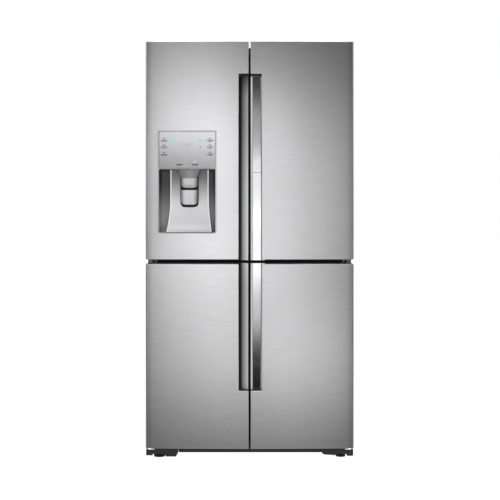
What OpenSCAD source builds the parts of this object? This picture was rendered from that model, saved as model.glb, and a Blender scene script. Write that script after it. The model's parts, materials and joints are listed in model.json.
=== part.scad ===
// French door refrigerator with four doors, a dispenser and a door-in-door.
// X to the right, +Y to the back, +Z up; origin on the floor at the middle.

/* [Overall] */
// Width across the closed doors
door_span = 908; // [904:1:912]
// Depth from the middle of the door faces to the rear cover
depth = 880; // [878:1:884]
// Top of the cabinet above the floor
case_top = 1781; // [1779:1:1783]
// Top of the hinge covers above the floor
total_h = 1828; // [1828:1:1832]

/* [Doors] */
// Gap between the left and right doors
door_gap = 8; // [7:0.5:9]
// Bottom of the lower doors
low_z0 = 47; // [46:1:48]
// Top of the lower doors
low_z1 = 850; // [849:1:851]
// Bottom of the upper doors
up_z0 = 869; // [868:1:870]
// Top of the upper doors
up_z1 = 1818; // [1816:1:1818]
// Door thickness at the middle of the refrigerator
door_t = 110; // [108:1:110]
// How far the four door faces together bow forward
bow = 14; // [10:1:18]
// Radius of the outer upright edges
corner_r = 8; // [6:1:10]
// Thickness of the steel skin
skin_t = 1; // [0.8:0.1:1.2]
// Height of the end caps
cap_h = 12; // [12:1:14]
// Thickness of the outer half of the door-in-door
outer_t = 54; // [54:1:55]

/* [Handle pockets] */
// Lower end of the pockets
pocket_z0 = 299; // [280:1:320]
// Upper end of the pockets
pocket_z1 = 1677; // [1650:1:1700]
// Width of a left-hand pocket's mouth
mouth_l = 44; // [42:1:46]
// Width of a right-hand pocket's mouth
mouth_r = 49; // [46:1:51]
// Depth of the pocket floor next to the door gap
shallow_d = 15; // [13:1:17]
// Greatest depth of a left-hand pocket's floor
deep_l = 38; // [34:1:40]
// Greatest depth of a right-hand pocket's floor, under its bright plate
deep_r = 26; // [25:1:28]
// Reach of the pocket behind the skin's edge
undercut = 14; // [12:1:16]
// Wall thickness of the pocket moulding
pocket_wall = 2; // [1.5:0.5:2.5]
// Height at which the release lever meets the fixed trim
lever_z = 1247; // [1200:1:1300]

/* [Dispenser] */
// Left edge of the dispenser frame
disp_x0 = -400; // [-402:1:-398]
// Width of the dispenser frame
disp_w = 256; // [254:1:258]
// Bottom of the dispenser frame
disp_z0 = 982; // [980:1:984]
// Top of the dispenser frame
disp_z1 = 1430; // [1428:1:1432]
// Height at which the control panel meets the cavity
panel_z = 1264; // [1262:1:1266]
// Middle of the tongue, chute and levers
tongue_x = -264; // [-266:1:-262]

/* [Interior] */
// Thickness of the side walls
wall_t = 47; // [46:1:48]
// Floor of the fresh-food compartment
fridge_z0 = 893; // [892:1:894]
// Ceiling of the fresh-food compartment
fridge_z1 = 1740; // [1738:1:1742]
// Floor of the lower compartments
freezer_z0 = 120; // [119:1:121]
// Ceiling of the lower compartments
freezer_z1 = 815; // [813:1:816]
// Half the width of the partition between the lower compartments
partition = 30; // [30:1:32]
// Sheet thickness of liners and drawers
sheet = 2; // [2:0.5:2.5]
// Travel of the drawers in the fresh-food compartment behind a closed door
upper_travel = 75; // [60:1:75]
// Travel of the drawers in the lower compartments behind a closed door
lower_travel = 85; // [60:1:85]

/* [Hidden] */
$fn = 48;
half = door_span / 2;
door_front = -depth / 2;
back = depth / 2;
door_back = door_front + door_t;
outer_back = door_front + outer_t;
case_front = door_back + 12;
case_x = half - 2;
bow_r = (half * half + bow * bow) / (2 * bow);
edge_r = 3;
slack = 0.1;
liner_t = 3;
gap_x = door_gap / 2;
left_pocket = [gap_x + mouth_l, deep_l];
right_pocket = [gap_x + mouth_r, deep_r];
lip_d = 3.6;
overrun = 3;
hinge_x = 432;
hinge_y = door_front + 77;
pin_r = 6;
pin_fit = 0.08;
gasket_w = 16;
gasket_x1 = hinge_x - 3;
seal_gap = 1;
cav_x = half - 2 - wall_t;
cav_y = 365;
step_y = 140;
step_z = 400;
machine_y = 169;
machine_z = 376;
case_z0 = 60;
flap_x = -32;
flap_y = case_front + 12;
foot_y = -365;
foot_x = [-397, 400];
foot_r = [25, 21.5];
disp_x1 = disp_x0 + disp_w;
disp_back = -366;
frame_x1 = hinge_x + 12;
frame_front = outer_back + 8;
trim_x0 = gap_x + 9;
trim_x1 = right_pocket[0] - 3;
trim_t = 2;
trim_d = [9, 14];
lever_pin = [gap_x + 13, door_front + 14.6];
upper_front = -165;
lower_front = -215;

// ---------- shapes used by several sub-parts ----------

// A box from its lowest to its highest corner
module block(lo, hi) {
    translate(lo) cube(hi - lo);
}

// Children built on the right, mirrored to the left for side = -1
module handed(side) {
    if (side < 0) mirror([1, 0, 0]) children();
    else children();
}

// A plan outline raised from z0 to z1
module raise(outline, z0, z1) {
    translate([0, 0, z0]) linear_extrude(z1 - z0) polygon(outline);
}

// A side outline in Y and Z, drawn out from x0 to x1
module draw_x(outline, x0, x1) {
    translate([x0, 0, 0]) rotate([90, 0, 90]) linear_extrude(x1 - x0) polygon(outline);
}

// A front outline in X and Z, drawn out from y0 to y1
module draw_y(outline, y0, y1) {
    translate([0, y1, 0]) rotate([90, 0, 0]) linear_extrude(y1 - y0) polygon(outline);
}

// A rectangular ring in the XZ plane, as a gasket or a dyke
module ring_y(lo, hi, w, y0, y1) {
    difference() {
        block([lo[0], y0, lo[1]], [hi[0], y1, hi[1]]);
        block([lo[0] + w, y0 - 1, lo[1] + w], [hi[0] - w, y1 + 1, hi[1] - w]);
    }
}

// An open-topped tray
module tray(lo, hi, wall) {
    difference() {
        block(lo, hi);
        block(lo + [wall, wall, wall], [hi[0] - wall, hi[1] - wall, hi[2] + 1]);
    }
}

function arc(cx, cy, r, a0, a1, n) =
    [for (i = [0:n]) let (a = a0 + (a1 - a0) * i / n) [cx + r * cos(a), cy + r * sin(a)]];

// A rectangle with rounded corners, as an outline
function round_rect(lo, hi, r) = concat(
    arc(hi[0] - r, hi[1] - r, r, 0, 90, 6), arc(lo[0] + r, hi[1] - r, r, 90, 180, 6),
    arc(lo[0] + r, lo[1] + r, r, 180, 270, 6), arc(hi[0] - r, lo[1] + r, r, 270, 360, 6));

// ---------- doors ----------

// Y of the bowed door face at x
function bow_y(x) = door_front + bow_r - sqrt(bow_r * bow_r - x * x);

// Points along the bowed face from x0 to x1
function face(x0, x1, inset, n) =
    [for (i = [1:n]) let (x = x0 + (x1 - x0) * i / n) [x, bow_y(x) + inset]];

// Plan of a right-hand door, drawn inwards by inset, as far back as y
function door_plan(inset, y) =
    let (xi = gap_x + inset, xo = half - inset, ro = corner_r - inset,
         tilt = asin((xo - ro) / bow_r))
    concat([[xi, y]],
        arc(xi + edge_r, bow_y(xi + edge_r) + inset + edge_r, edge_r, 180, 270, 3),
        face(xi + edge_r, xo - ro, inset, 10),
        arc(xo - ro, bow_y(xo - ro) + inset + ro * cos(tilt), ro, 270 + tilt, 360, 6),
        [[xo, y]]);

// Y of the floor at x of a pocket given by its lip's x and its greatest depth
function floor_y(x, pocket) =
    let (u = min(1, max(0, (x - gap_x) / (pocket[0] - gap_x))))
    door_front + shallow_d + (pocket[1] - shallow_d) * (1 - cos(180 * u)) / 2;

// Plan of a pocket grown by g, from x0, with its mouth drawn out to y0
function pocket_plan(g, x0, y0, pocket) =
    let (lip_x = pocket[0], deep_y = door_front + pocket[1], lip_y = door_front + lip_d)
    concat([[x0, y0], [x0, door_front + shallow_d + g]],
        [for (i = [1:8]) let (x = gap_x + (lip_x - gap_x) * i / 8) [x, floor_y(x, pocket) + g]],
        [for (i = [0:8]) let (a = 90 - 180 * i / 8)
            [lip_x + (undercut + g) * cos(a) + 0.01,
             (deep_y + lip_y) / 2 + ((deep_y - lip_y) / 2 + g) * sin(a)]],
        [[lip_x, door_front + lip_d - g - 0.01], [lip_x, y0]]);

// The space a pocket takes in a skin, a foam core or a cap
module pocket_room(g, z0, z1, pocket) {
    raise(pocket_plan(g, -gap_x, door_front - 5, pocket), z0, z1);
}

// The sheet-steel skin with its folded sides and the pocket's mouth cut out
module door_skin(z0, z1, y, p0, p1, pocket) {
    difference() {
        raise(door_plan(0, y), z0, z1);
        raise(door_plan(skin_t, y + 1), z0 - 1, z1 + 1);
        block([-1, door_front - 5, p0],
            [pocket[0], door_front + shallow_d + pocket_wall + 2 * slack, p1]);
    }
}

// An end cap with the bore for the hinge pin, and with the pocket if one runs through it
module end_cap(z0, z1, y, pocket) {
    difference() {
        raise(door_plan(skin_t + slack, y - liner_t - slack), z0, z1);
        if (len(pocket) > 0) pocket_room(pocket_wall + slack, z0 - 1, z1 + 1, pocket);
        hinge_bore(z0 - 1, z1 + 1);
    }
}

module hinge_bore(z0, z1) {
    translate([hinge_x, hinge_y, z0]) cylinder(r = pin_r + pin_fit, h = z1 - z0);
}

// The moulded finger pocket, closed at z = shut
module pocket_shell(z0, z1, shut, pocket) {
    difference() {
        raise(pocket_plan(pocket_wall, gap_x, door_front - 1, pocket), z0, z1);
        raise(pocket_plan(0, -gap_x, door_front - 5, pocket), z0 - 1, z1 + 1);
        block([-1, door_front - 5, z0 - 1], [pocket[0] - slack, door_front + lip_d, z1 + 1]);
    }
    raise(pocket_plan(pocket_wall, gap_x + skin_t + slack, door_front + skin_t + 0.4, pocket),
        shut - pocket_wall / 2, shut + pocket_wall / 2);
}

// The foam core between skin, caps, pocket and liner
module door_core(z0, z1, y, p0, p1, pocket) {
    difference() {
        raise(door_plan(skin_t + slack, y - liner_t - slack), z0 + cap_h + slack,
            z1 - cap_h - slack);
        pocket_room(pocket_wall + slack, p0, p1, pocket);
    }
}

// The inner panel of a door
module inner_panel(z0, z1, y) {
    block([gap_x + skin_t + slack, y - liner_t, z0 + slack],
        [half - skin_t - slack, y, z1 - slack]);
}

// Y of the bright plate's face at x
function plate_y(x) =
    door_front + trim_d[0] + (trim_d[1] - trim_d[0]) * (x - trim_x0) / (trim_x1 - trim_x0);

// The bright plate over the floor of a right-hand pocket
module trim_plate(z0, z1) {
    face = [for (x = [trim_x0, trim_x1]) [x, plate_y(x)]];
    raise([face[0], face[1], face[1] + [0, trim_t], face[0] + [0, trim_t]], z0, z1);
}

// A foot that holds the fixed trim off the pocket floor
module trim_foot(z0, z1) {
    x = trim_x1 - 8;
    block([x, plate_y(x) + trim_t - 0.05, z0], [x + 4, floor_y(x, right_pocket) - slack, z1]);
}

// ---------- cabinet ----------

module outer_case() color("gainsboro") {
    edge = case_x - 1;
    difference() {
        block([-case_x, case_front, case_z0], [case_x, back - 1, case_top]);
        block([-edge, case_front - 1, case_z0 - 1], [edge, back, case_top - 1]);
    }
    block([-edge + slack, back - 2, machine_z], [edge - slack, back - 1, case_top - 1.1]);
    face_y1 = case_front + 1.4;
    difference() {
        block([-edge + slack, case_front, case_z0], [edge - slack, face_y1, case_top - 1.1]);
        block([-cav_x, case_front - 1, fridge_z0], [cav_x, face_y1 + 1, fridge_z1]);
        for (side = [-1, 1]) handed(side)
            block([partition, case_front - 1, freezer_z0], [cav_x, face_y1 + 1, freezer_z1]);
    }
}

// Slabs of foam around the three compartments and the machine compartment
module insulation_foam() color("khaki") {
    gap = 0.3;
    y0 = case_front + 1.4 + gap;
    y1 = back - 2 - gap;
    xi = cav_x + sheet + gap;
    xo = case_x - 1 - gap;
    top = case_top - 1.1 - gap;
    for (side = [-1, 1]) handed(side) {
        block([xi, y0, machine_z + gap], [xo, y1, top]);
        block([xi, y0, case_z0 + gap], [xo, machine_y, machine_z]);
    }
    x = cav_x + sheet;
    block([-x, y0, fridge_z1 + sheet + gap], [x, y1, top]);
    block([-x, y0, freezer_z1 + sheet + gap], [x, cav_y, fridge_z0 - sheet - gap]);
    block([-x, cav_y + sheet + gap, step_z], [x, y1, fridge_z1 + sheet]);
    block([-x, step_y + sheet + gap, machine_z + gap], [x, y1, step_z - sheet - gap]);
    block([-x, step_y + sheet + gap, freezer_z0], [x, machine_y, machine_z]);
    block([-x, y0, case_z0 + gap], [x, machine_y, freezer_z0 - sheet - gap]);
    p = partition - sheet - gap;
    block([-p, y0, step_z], [p, cav_y, freezer_z1 + sheet]);
    block([-p, y0, freezer_z0], [p, step_y, step_z - gap]);
}

// The hollow of a lower compartment, grown by g
module lower_room(g) {
    block([partition - g, case_front + 1.4 - 2 + g, freezer_z0 - g],
        [cav_x + g, step_y + g, freezer_z1 + g]);
    block([partition - g, case_front + 1.4 - 2 + g, step_z - g],
        [cav_x + g, cav_y + g, freezer_z1 + g]);
}

module inner_liners() color("white") {
    y0 = case_front + 1.4;
    difference() {
        block([-cav_x - sheet, y0, fridge_z0 - sheet], [cav_x + sheet, cav_y + sheet,
            fridge_z1 + sheet]);
        block([-cav_x, y0 - 1, fridge_z0], [cav_x, cav_y, fridge_z1]);
    }
    for (side = [-1, 1]) handed(side) difference() {
        lower_room(sheet);
        lower_room(0);
    }
}

// Covers over the evaporators, open to the back, with air slots
module air_ducts() color("whitesmoke") {
    tower = [150, 330, 1130];
    difference() {
        union() {
            block([-tower[0], tower[1], tower[2]], [tower[0], cav_y - slack, fridge_z1 - 20]);
            block([-330, 295, fridge_z0 + slack], [330, cav_y - slack, tower[2]]);
        }
        block([-tower[0] + sheet, tower[1] + sheet, tower[2] - sheet],
            [tower[0] - sheet, cav_y + 1, fridge_z1 - 20 - sheet]);
        block([-330 + sheet, 295 + sheet, fridge_z0 + sheet],
            [330 - sheet, cav_y + 1, tower[2] - sheet]);
        for (z = [1180:90:1640], side = [-1, 1]) handed(side)
            block([60, tower[1] - 1, z], [130, tower[1] + sheet + 1, z + 12]);
    }
    for (side = [-1, 1]) handed(side) difference() {
        block([partition + 5, 316, step_z + 2], [cav_x - 5, cav_y - slack, freezer_z1 - 5]);
        block([partition + 5 + sheet, 316 + sheet, step_z + 2 + sheet],
            [cav_x - 5 - sheet, cav_y + 1, freezer_z1 - 5 - sheet]);
        for (z = [450:60:570]) block([90, 315, z], [345, 317 + sheet, z + 10]);
        translate([217, 315, 730]) rotate([-90, 0, 0]) cylinder(r = 54, h = 4);
    }
}

module base_frame() color("dimgray") {
    roller_y = 380;
    roller_x = 434;
    difference() {
        union() {
            block([-450, case_front + 3, 57], [450, back - 5, case_z0 - slack]);
            block([-410, case_front + 3, 30], [410, case_front + 30, 57.5]);
            for (side = [-1, 1]) handed(side) {
                block([405, case_front + 3, 30], [450, 340, 57.5]);
                block([418, roller_y - 22, 12], [421, roller_y + 22, 57.5]);
                block([447, roller_y - 22, 12], [450, roller_y + 22, 57.5]);
                block([447, machine_y + 1, 57.5], [450.5, back - 5, machine_z - 1]);
                translate([420, roller_y, 22]) rotate([0, 90, 0]) cylinder(r = 5, h = 28);
            }
        }
        translate([0, 0, -0.01]) block([-380, -260, 50], [380, 150, 61]);
    }
    tray([-20, 210, case_z0], [140, 400, case_z0 + 28], sheet);
}

module toe_grille() color("black") {
    front = -372;
    bar_x = [-312, 316];
    top = 43;
    difference() {
        block([bar_x[0], front, 18], [bar_x[1], case_front, top]);
        block([bar_x[0] - 1, front + 3, 15], [bar_x[1] + 1, case_front + 1, top - 3]);
    }
    leg_cover([[-454, 9], [-426, 9], [-424, 15], [-370, 15], [-368, 4], [-323, 4], [-314, 20],
        [-314, top], [-418, top], [-418, 35], [-454, 35]], -454, -314);
    leg_cover([[316, 20], [325, 13], [375, 10], [377, 15], [424, 15], [426, 7], [454, 7],
        [454, 35], [418, 35], [418, top], [316, top]], 316, 454);
}

// A cover in front of a levelling leg: a shaped front wall with a rim behind it
module leg_cover(outline, x0, x1) {
    wall_y = -394;
    difference() {
        draw_y(outline, wall_y, wall_y + 20);
        block([x0 + 3, wall_y + 3, 0], [x1 - 3, wall_y + 21, 60]);
    }
    for (x = [x0, x1 - 3]) block([x, wall_y + 19, 20], [x + 3, case_front, 35]);
}

// A hinge leaf with a round end about the hinge axis
module leaf(z0, z1, y1) {
    translate([hinge_x, hinge_y, z0]) cylinder(r = 14, h = z1 - z0);
    block([hinge_x - 14, hinge_y, z0], [hinge_x + 14, y1, z1]);
}

module hinge_pin(z0, z1) {
    translate([hinge_x, hinge_y, z0]) cylinder(r = pin_r, h = z1 - z0);
}

module door_hinges() color("silver") {
    arm_z = up_z1 + 1;
    mid_z = (low_z1 + up_z0) / 2;
    for (side = [-1, 1]) handed(side) {
        leaf(arm_z, arm_z + 3, case_front + 20);
        block([hinge_x - 14, case_front + 17, case_top], [hinge_x + 14, case_front + 20, arm_z + 3]);
        block([hinge_x - 14, case_front + 17, case_top], [hinge_x + 14, case_front + 75,
            case_top + 4]);
        hinge_pin(side < 0 ? up_z1 - cap_h + 1 : up_z1 - 20, arm_z + 1);
        leaf(mid_z - 2.5, mid_z + 2.5, case_front);
        block([hinge_x - 20, case_front - 4, mid_z - 8], [hinge_x + 16, case_front, mid_z + 8]);
        hinge_pin(mid_z, side < 0 ? up_z0 + cap_h - 1 : up_z0 + 18);
        hinge_pin(low_z1 - cap_h + 1, mid_z);
        hinge_pin(38, low_z0 + cap_h - 1);
        difference() {
            union() {
                leaf(36, 41, case_front + 2.9);
                block([360, -385, 36], [hinge_x, case_front + 2.9, 41]);
                block([360, case_front - 4, 30], [hinge_x + 14, case_front + 2.9, 56]);
            }
            translate([side < 0 ? -foot_x[0] : foot_x[1], foot_y, 30]) cylinder(r = 5.06, h = 20);
        }
    }
}

// The covers over the top hinges, and a low cover over the wiring between them
module hinge_covers() color("darkgray") {
    y0 = case_front - 2;
    y1 = case_front + 100;
    lid = total_h - 4.5;
    difference() {
        block([-90, y0, case_top + slack], [90, y1 - 30, up_z1 - 14]);
        block([-88, y0 + 2, case_top - 1], [88, y1 - 32, up_z1 - 16]);
    }
    for (side = [-1, 1]) handed(side) difference() {
        union() {
            block([hinge_x - 52, y0, case_top + slack], [hinge_x + 18, y1, total_h]);
            block([hinge_x - 20, hinge_y - 22, lid], [hinge_x + 18, y0 + 1, total_h]);
        }
        block([hinge_x - 50, y0 - 1, case_top - 1], [hinge_x + 15.9, y1 - 2, lid]);
    }
}

module compressor() color("black") {
    translate([250, 305, case_z0]) {
        rotate_extrude() polygon([[0, 12], [62, 12], [78, 24], [82, 60], [82, 120], [74, 150],
            [48, 170], [0, 178]]);
        for (a = [45:90:315]) rotate([0, 0, a]) {
            translate([60, -12, 10]) cube([50, 24, 4]);
            translate([98, 0, 0.2]) cylinder(r = 11, h = 10.8);
        }
    }
}

// A coil of straight tubes with fins across them, seen along X
module finned_coil(lo, hi, rows, fins) {
    size = hi - lo;
    for (i = [0:rows - 1])
        translate([lo[0], (lo[1] + hi[1]) / 2, lo[2] + size[2] * (i + 0.5) / rows])
            rotate([0, 90, 0]) cylinder(r = 4, h = size[0]);
    for (j = [0:fins - 1])
        translate([lo[0] + 8 + (size[0] - 18) * j / (fins - 1), lo[1], lo[2]])
            cube([2, size[1], size[2]]);
}

module condenser() color("peru") {
    finned_coil([-390, 230, case_z0 + 20], [-110, 380, 300], 5, 12);
}

module compressor_cover() color("dimgray") {
    difference() {
        block([-450, back - 4, 46], [450, back, machine_z - 1]);
        for (x = [-280:40:280], z = [110, 210])
            block([x - 5, back - 5, z], [x + 5, back + 1, z + 70]);
        block([-430, back - 5, 70], [-330, back + 1, 150]);
        translate([390, back - 5, 120]) rotate([-90, 0, 0]) cylinder(r = 10, h = 6);
    }
}

module evaporators() color("lightsteelblue") {
    finned_coil([-300, 305, fridge_z0 + 15], [300, 355, 1080], 4, 12);
    for (side = [-1, 1]) handed(side)
        finned_coil([60, 322, step_z + 20], [370, 360, 650], 5, 10);
}

module ice_maker_housing() color("white") {
    x = [-403, -250];
    y = [-172, 250];
    z = [1500, fridge_z1 - 2];
    difference() {
        block([x[0], y[0], z[0]], [x[1], y[1], z[1]]);
        block([x[0] + 5, y[0] - 1, z[0] + 5], [x[1] - 5, y[1] - 5, z[1] - 5]);
    }
    tray([x[0] + 15, y[0] + 60, z[1] - 60], [x[1] - 15, y[1] - 60, z[1] - 25], sheet);
    for (s = [x[0] + 5, x[1] - 15])
        block([s, y[0] + 80, z[1] - 40], [s + 10, y[1] - 80, z[1] - 30]);
}

module glass_shelves() color("lightcyan") {
    glass = 5;
    y = [-175, 290];
    block([-402, y[0], 1126], [402, y[1], 1126 + glass]);
    block([-402, y[0], 1310], [-3, y[1], 1310 + glass]);
    for (z = [1310, 1500]) block([3, y[0], z], [402, y[1], z + glass]);
}

module rear_inlets() color("goldenrod") {
    block([-400, back - 48, 96], [-360, back - 6, 140]);
    translate([-380, back - 27, 78]) cylinder(r = 5.5, h = 19);
    translate([-340, 0, 0]) block([-20, back - 40, 100], [-14, back - 12, 136]);
    translate([390, back - 14, 120]) rotate([-90, 0, 0]) cylinder(r = 9.5, h = 14);
}

// ---------- feet, rollers and fans ----------

module levelling_leg(i) {
    translate([foot_x[i], foot_y, 0]) {
        cylinder(r = foot_r[i], h = 9);
        cylinder(r = 13, h = 14, $fn = 6);
        cylinder(r = 5, h = 44);
    }
}

module levelling_leg_left() color("black") levelling_leg(0);

module levelling_leg_right() color("black") levelling_leg(1);

module rear_rollers() color("black") {
    for (x = [-434, 434]) translate([x - 11, 380, 22]) rotate([0, 90, 0]) difference() {
        cylinder(r = 22, h = 22);
        translate([0, 0, -1]) cylinder(r = 5.06, h = 24);
    }
}

// A fan about +Z with pitched blades
module fan(r, hub_r, h, blades) {
    cylinder(r = hub_r, h = h);
    for (a = [0:360 / blades:359]) rotate([0, 0, a])
        translate([0, 0, h / 2]) rotate([28, 0, 0])
            translate([hub_r - 3, -r * 0.22, -1]) cube([r - hub_r, r * 0.44, 2]);
}

module condenser_fan() color("dimgray")
    translate([-60, 305, 190]) rotate([0, 90, 0]) fan(75, 18, 26, 5);

module evaporator_fan() color("white")
    translate([-217, 318, 730]) rotate([-90, 0, 0]) fan(50, 14, 22, 5);

// ---------- drawers ----------

// A drawer: an open tray with a thicker front and a grip rail
module drawer(lo, hi) {
    front_t = 8;
    tray([lo[0], lo[1] + front_t - sheet, lo[2]], hi, 2.5);
    block([lo[0] - 1, lo[1], lo[2]], [hi[0] + 1, lo[1] + front_t, hi[2] + 4]);
}

module ice_bucket() color("azure") drawer([-395, -177, 1510], [-258, 160, 1640]);

module crisper_left() color("azure") drawer([-396, upper_front, 992], [-5, 270, 1116]);

module crisper_right() color("azure") drawer([5, upper_front, 992], [396, 270, 1116]);

module pantry_drawer() color("azure") drawer([-396, upper_front, 898], [396, 270, 982]);

module freezer_drawer_upper() color("azure")
    drawer([-398, lower_front, 560], [-37, 290, 790]);

module freezer_drawer_lower() color("azure")
    drawer([-398, lower_front, 130], [-37, 125, 535]);

module flex_drawer_upper() color("azure")
    drawer([37, lower_front, 560], [398, 290, 790]);

module flex_drawer_lower() color("azure")
    drawer([37, lower_front, 130], [398, 125, 535]);

// ---------- upper left door ----------

// Plan of a block whose front follows the bowed face, between two depths
function bow_block(x0, x1, proud, y) = concat(
    [[x1, y], [x0, y], [x0, bow_y(x0) - proud]], face(x0, x1, -proud, 6));

module upper_left_door_skin() color("silver") difference() {
    handed(-1) door_skin(up_z0, up_z1, door_back, up_z0 - 1, pocket_z1, left_pocket);
    draw_y(round_rect([disp_x0, disp_z0], [disp_x1, disp_z1], 9), door_front - 5,
        door_front + 20);
}

module upper_left_door_fittings() color("dimgray") {
    handed(-1) {
        end_cap(up_z0, up_z0 + cap_h, door_back, left_pocket);
        end_cap(up_z1 - cap_h, up_z1, door_back, []);
        pocket_shell(up_z0 - overrun, pocket_z1, pocket_z1, left_pocket);
    }
    for (z = [960, 1650]) flap_ear(z);
}

// An ear on the door with the pin that the mullion flap turns on
module flap_ear(z) {
    block([flap_x - 6, door_back + 0.01, z], [flap_x + 1.5, flap_y, z + 24]);
    translate([flap_x, flap_y, z]) cylinder(r = 6, h = 24);
    translate([flap_x, flap_y, z - 13]) cylinder(r = 3, h = 50);
}

module upper_left_door_foam() color("khaki") difference() {
    handed(-1) door_core(up_z0, up_z1, door_back, up_z0, pocket_z1 + 2, left_pocket);
    block([disp_x0 - slack, door_front - 1, disp_z0 - slack],
        [disp_x1 + slack, disp_back + slack, disp_z1 + slack]);
}

module upper_left_door_liner() color("white") handed(-1) {
    inner_panel(up_z0, up_z1, door_back);
    ring_y([50, 1130], [395, 1480], 10, door_back - 0.01, door_back + 40);
}

// A door gasket from x0 to x1 and z0 to z1
module door_gasket(x0, x1, z0, z1, y0, y1) {
    ring_y([x0, z0], [x1, z1], gasket_w, y0, y1);
}

module upper_left_door_gasket() color("dimgray") handed(-1)
    door_gasket(14, gasket_x1, up_z0 + 5, fridge_z1 + 30, door_back, case_front - seal_gap);

module upper_left_door_bins() color("azure") {
    for (z = [1145, 1330])
        tray([-384, door_back + 1, z], [-61, -225, z + 100], 2.5);
    tray([-236, door_back + 1, 1530], [-61, -225, 1620], 2.5);
}

module dispenser_housing() color("darkslategray") {
    rim = 5;
    difference() {
        intersection() {
            raise(bow_block(disp_x0, disp_x1, 0.6, disp_back), disp_z0, disp_z1);
            draw_y(round_rect([disp_x0 + 0.5, disp_z0 + 0.5], [disp_x1 - 0.5, disp_z1 - 0.5],
                8.5), door_front - 5, disp_back + 1);
        }
        raise(bow_block(disp_x0 + rim, disp_x1 - rim, 5, disp_back - 4), disp_z0 + 4,
            panel_z - 2);
        raise(bow_block(disp_x0 + rim, disp_x1 - rim, 5, -400), panel_z + 2, disp_z1 - 4);
    }
}

module dispenser_panel() color("silver") {
    rim = 5.2;
    raise(bow_block(disp_x0 + rim, disp_x1 - rim, 1, -420), panel_z + 2.2, disp_z1 - 4.2);
}

// The tongue runs down the back of the cavity and sweeps forward at its foot
module dispenser_tongue() color("silver") {
    top = panel_z - 3;
    bend = 1100;
    foot = disp_z0 + 5;
    deep = -380;
    near = -428;
    thick = 4;
    slope = [for (i = [0:10]) let (u = i / 10)
        [deep + (near - deep) * (1 - cos(90 * u)), bend + (foot + thick - bend) * sin(90 * u)]];
    under = [for (i = [0:10]) slope[10 - i] + [thick, -thick]];
    half_top = 78;
    half_foot = 96;
    intersection() {
        draw_x(concat([[deep + thick, top], [deep, top]], slope, under), tongue_x - half_foot,
            tongue_x + half_foot);
        draw_y([[tongue_x - half_foot, foot - 1], [tongue_x + half_foot, foot - 1],
            [tongue_x + half_top, top], [tongue_x - half_top, top]], near - 5, deep + 20);
    }
    ice_chute();
    for (z = [1236, 1176], side = [-1, 1])
        translate([tongue_x, 0, 0]) handed(side) lever_ear(z);
}

module ice_chute() {
    z = [1224, panel_z - 3];
    difference() {
        draw_y([[tongue_x - 35, z[0]], [tongue_x + 35, z[0]], [tongue_x + 52, z[1]],
            [tongue_x - 52, z[1]]], -426, -396);
        draw_y([[tongue_x - 31, z[0] - 1], [tongue_x + 31, z[0] - 1], [tongue_x + 47, z[1] + 1],
            [tongue_x - 47, z[1] + 1]], -423, -399);
    }
}

// An ear on the tongue with a stub pin for a lever
module lever_ear(z) {
    block([14, -392, z - 4], [17, -380, z + 4]);
    translate([8, -388, z]) rotate([0, 90, 0]) cylinder(r = 2, h = 7);
}

// A paddle hung on stub pins at height z, with its outline in X and Z
module lever(z, outline, y0) {
    draw_y(outline, y0, y0 + 4);
    difference() {
        union() {
            block([tongue_x - 12, y0 + 3.9, z - 9], [tongue_x + 12, -386, z - 4]);
            block([tongue_x - 12, -392, z - 5], [tongue_x + 12, -384.5, z + 3]);
        }
        translate([tongue_x - 13, -388, z]) rotate([0, 90, 0]) cylinder(r = 2.06, h = 26);
    }
}

module water_lever() color("silver")
    lever(1176, concat([[tongue_x + 38, 1172], [tongue_x - 38, 1172]],
        [for (i = [0:8]) let (a = 180 + 22.5 * i)
            [tongue_x + 38 * cos(a), 1132 + 24 * sin(a)]]), -408);

module ice_lever() color("silver")
    lever(1236, concat([[tongue_x + 35, 1232], [tongue_x - 35, 1232]],
        [for (i = [0:8]) let (a = 180 + 22.5 * i)
            [tongue_x + 35 * cos(a), 1196 + 14 * sin(a)]]), -395);

// The flap is drawn folded back beside the bins, as it is behind an open door
module mullion_flap() color("dimgray") {
    thick = 20;
    reach = 62;
    difference() {
        block([flap_x - 8, flap_y - 2, fridge_z0 + 3],
            [flap_x - 8 + thick, flap_y + reach, fridge_z1 - 3]);
        for (z = [960, 1650]) {
            translate([flap_x, flap_y, z - 2]) cylinder(r = 15, h = 28);
            translate([flap_x, flap_y, z - 15]) cylinder(r = 3.06, h = 54);
        }
    }
}

// ---------- upper right door ----------

module upper_right_door_skin() color("silver")
    door_skin(up_z0, up_z1, outer_back, up_z0 - 1, pocket_z1, right_pocket);

module upper_right_door_fittings() color("dimgray") {
    difference() {
        union() {
            end_cap(up_z0, up_z0 + cap_h, outer_back, right_pocket);
            end_cap(up_z1 - cap_h, up_z1, outer_back, []);
            for (z = [up_z0, up_z1 - 3]) outer_leaf(z, z + 3);
        }
        hinge_bore(up_z0 - 1, up_z1 + 1);
    }
    pocket_shell(up_z0 - overrun, pocket_z1, pocket_z1, right_pocket);
    for (z = [908, 1140]) lever_post(z);
}

// A leaf of the outer door round the hinge pin, in front of the frame's end
module outer_leaf(z0, z1) {
    translate([hinge_x, hinge_y, z0]) cylinder(r = 12, h = z1 - z0);
    block([hinge_x - 12, outer_back - liner_t - 1, z0], [hinge_x + 12, hinge_y, z1]);
}

// A post on the pocket floor with a pin for the release lever
module lever_post(z) {
    block([lever_pin[0] - 1.6, lever_pin[1] - 1.7, z], [lever_pin[0] + 1.6, door_front + 18.5, z + 6]);
    translate([lever_pin[0], lever_pin[1], z - 8]) cylinder(r = 1.25, h = 22);
}

module upper_right_door_foam() color("khaki")
    door_core(up_z0, up_z1, outer_back, up_z0, pocket_z1 + 2, right_pocket);

module upper_right_door_liner() color("white")
    inner_panel(up_z0 + 3, up_z1 - 3, outer_back);

module upper_right_door_gasket() color("dimgray")
    door_gasket(16, hinge_x - 12, up_z0 + 14, up_z1 - 16, outer_back, frame_front - 0.6);

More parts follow.
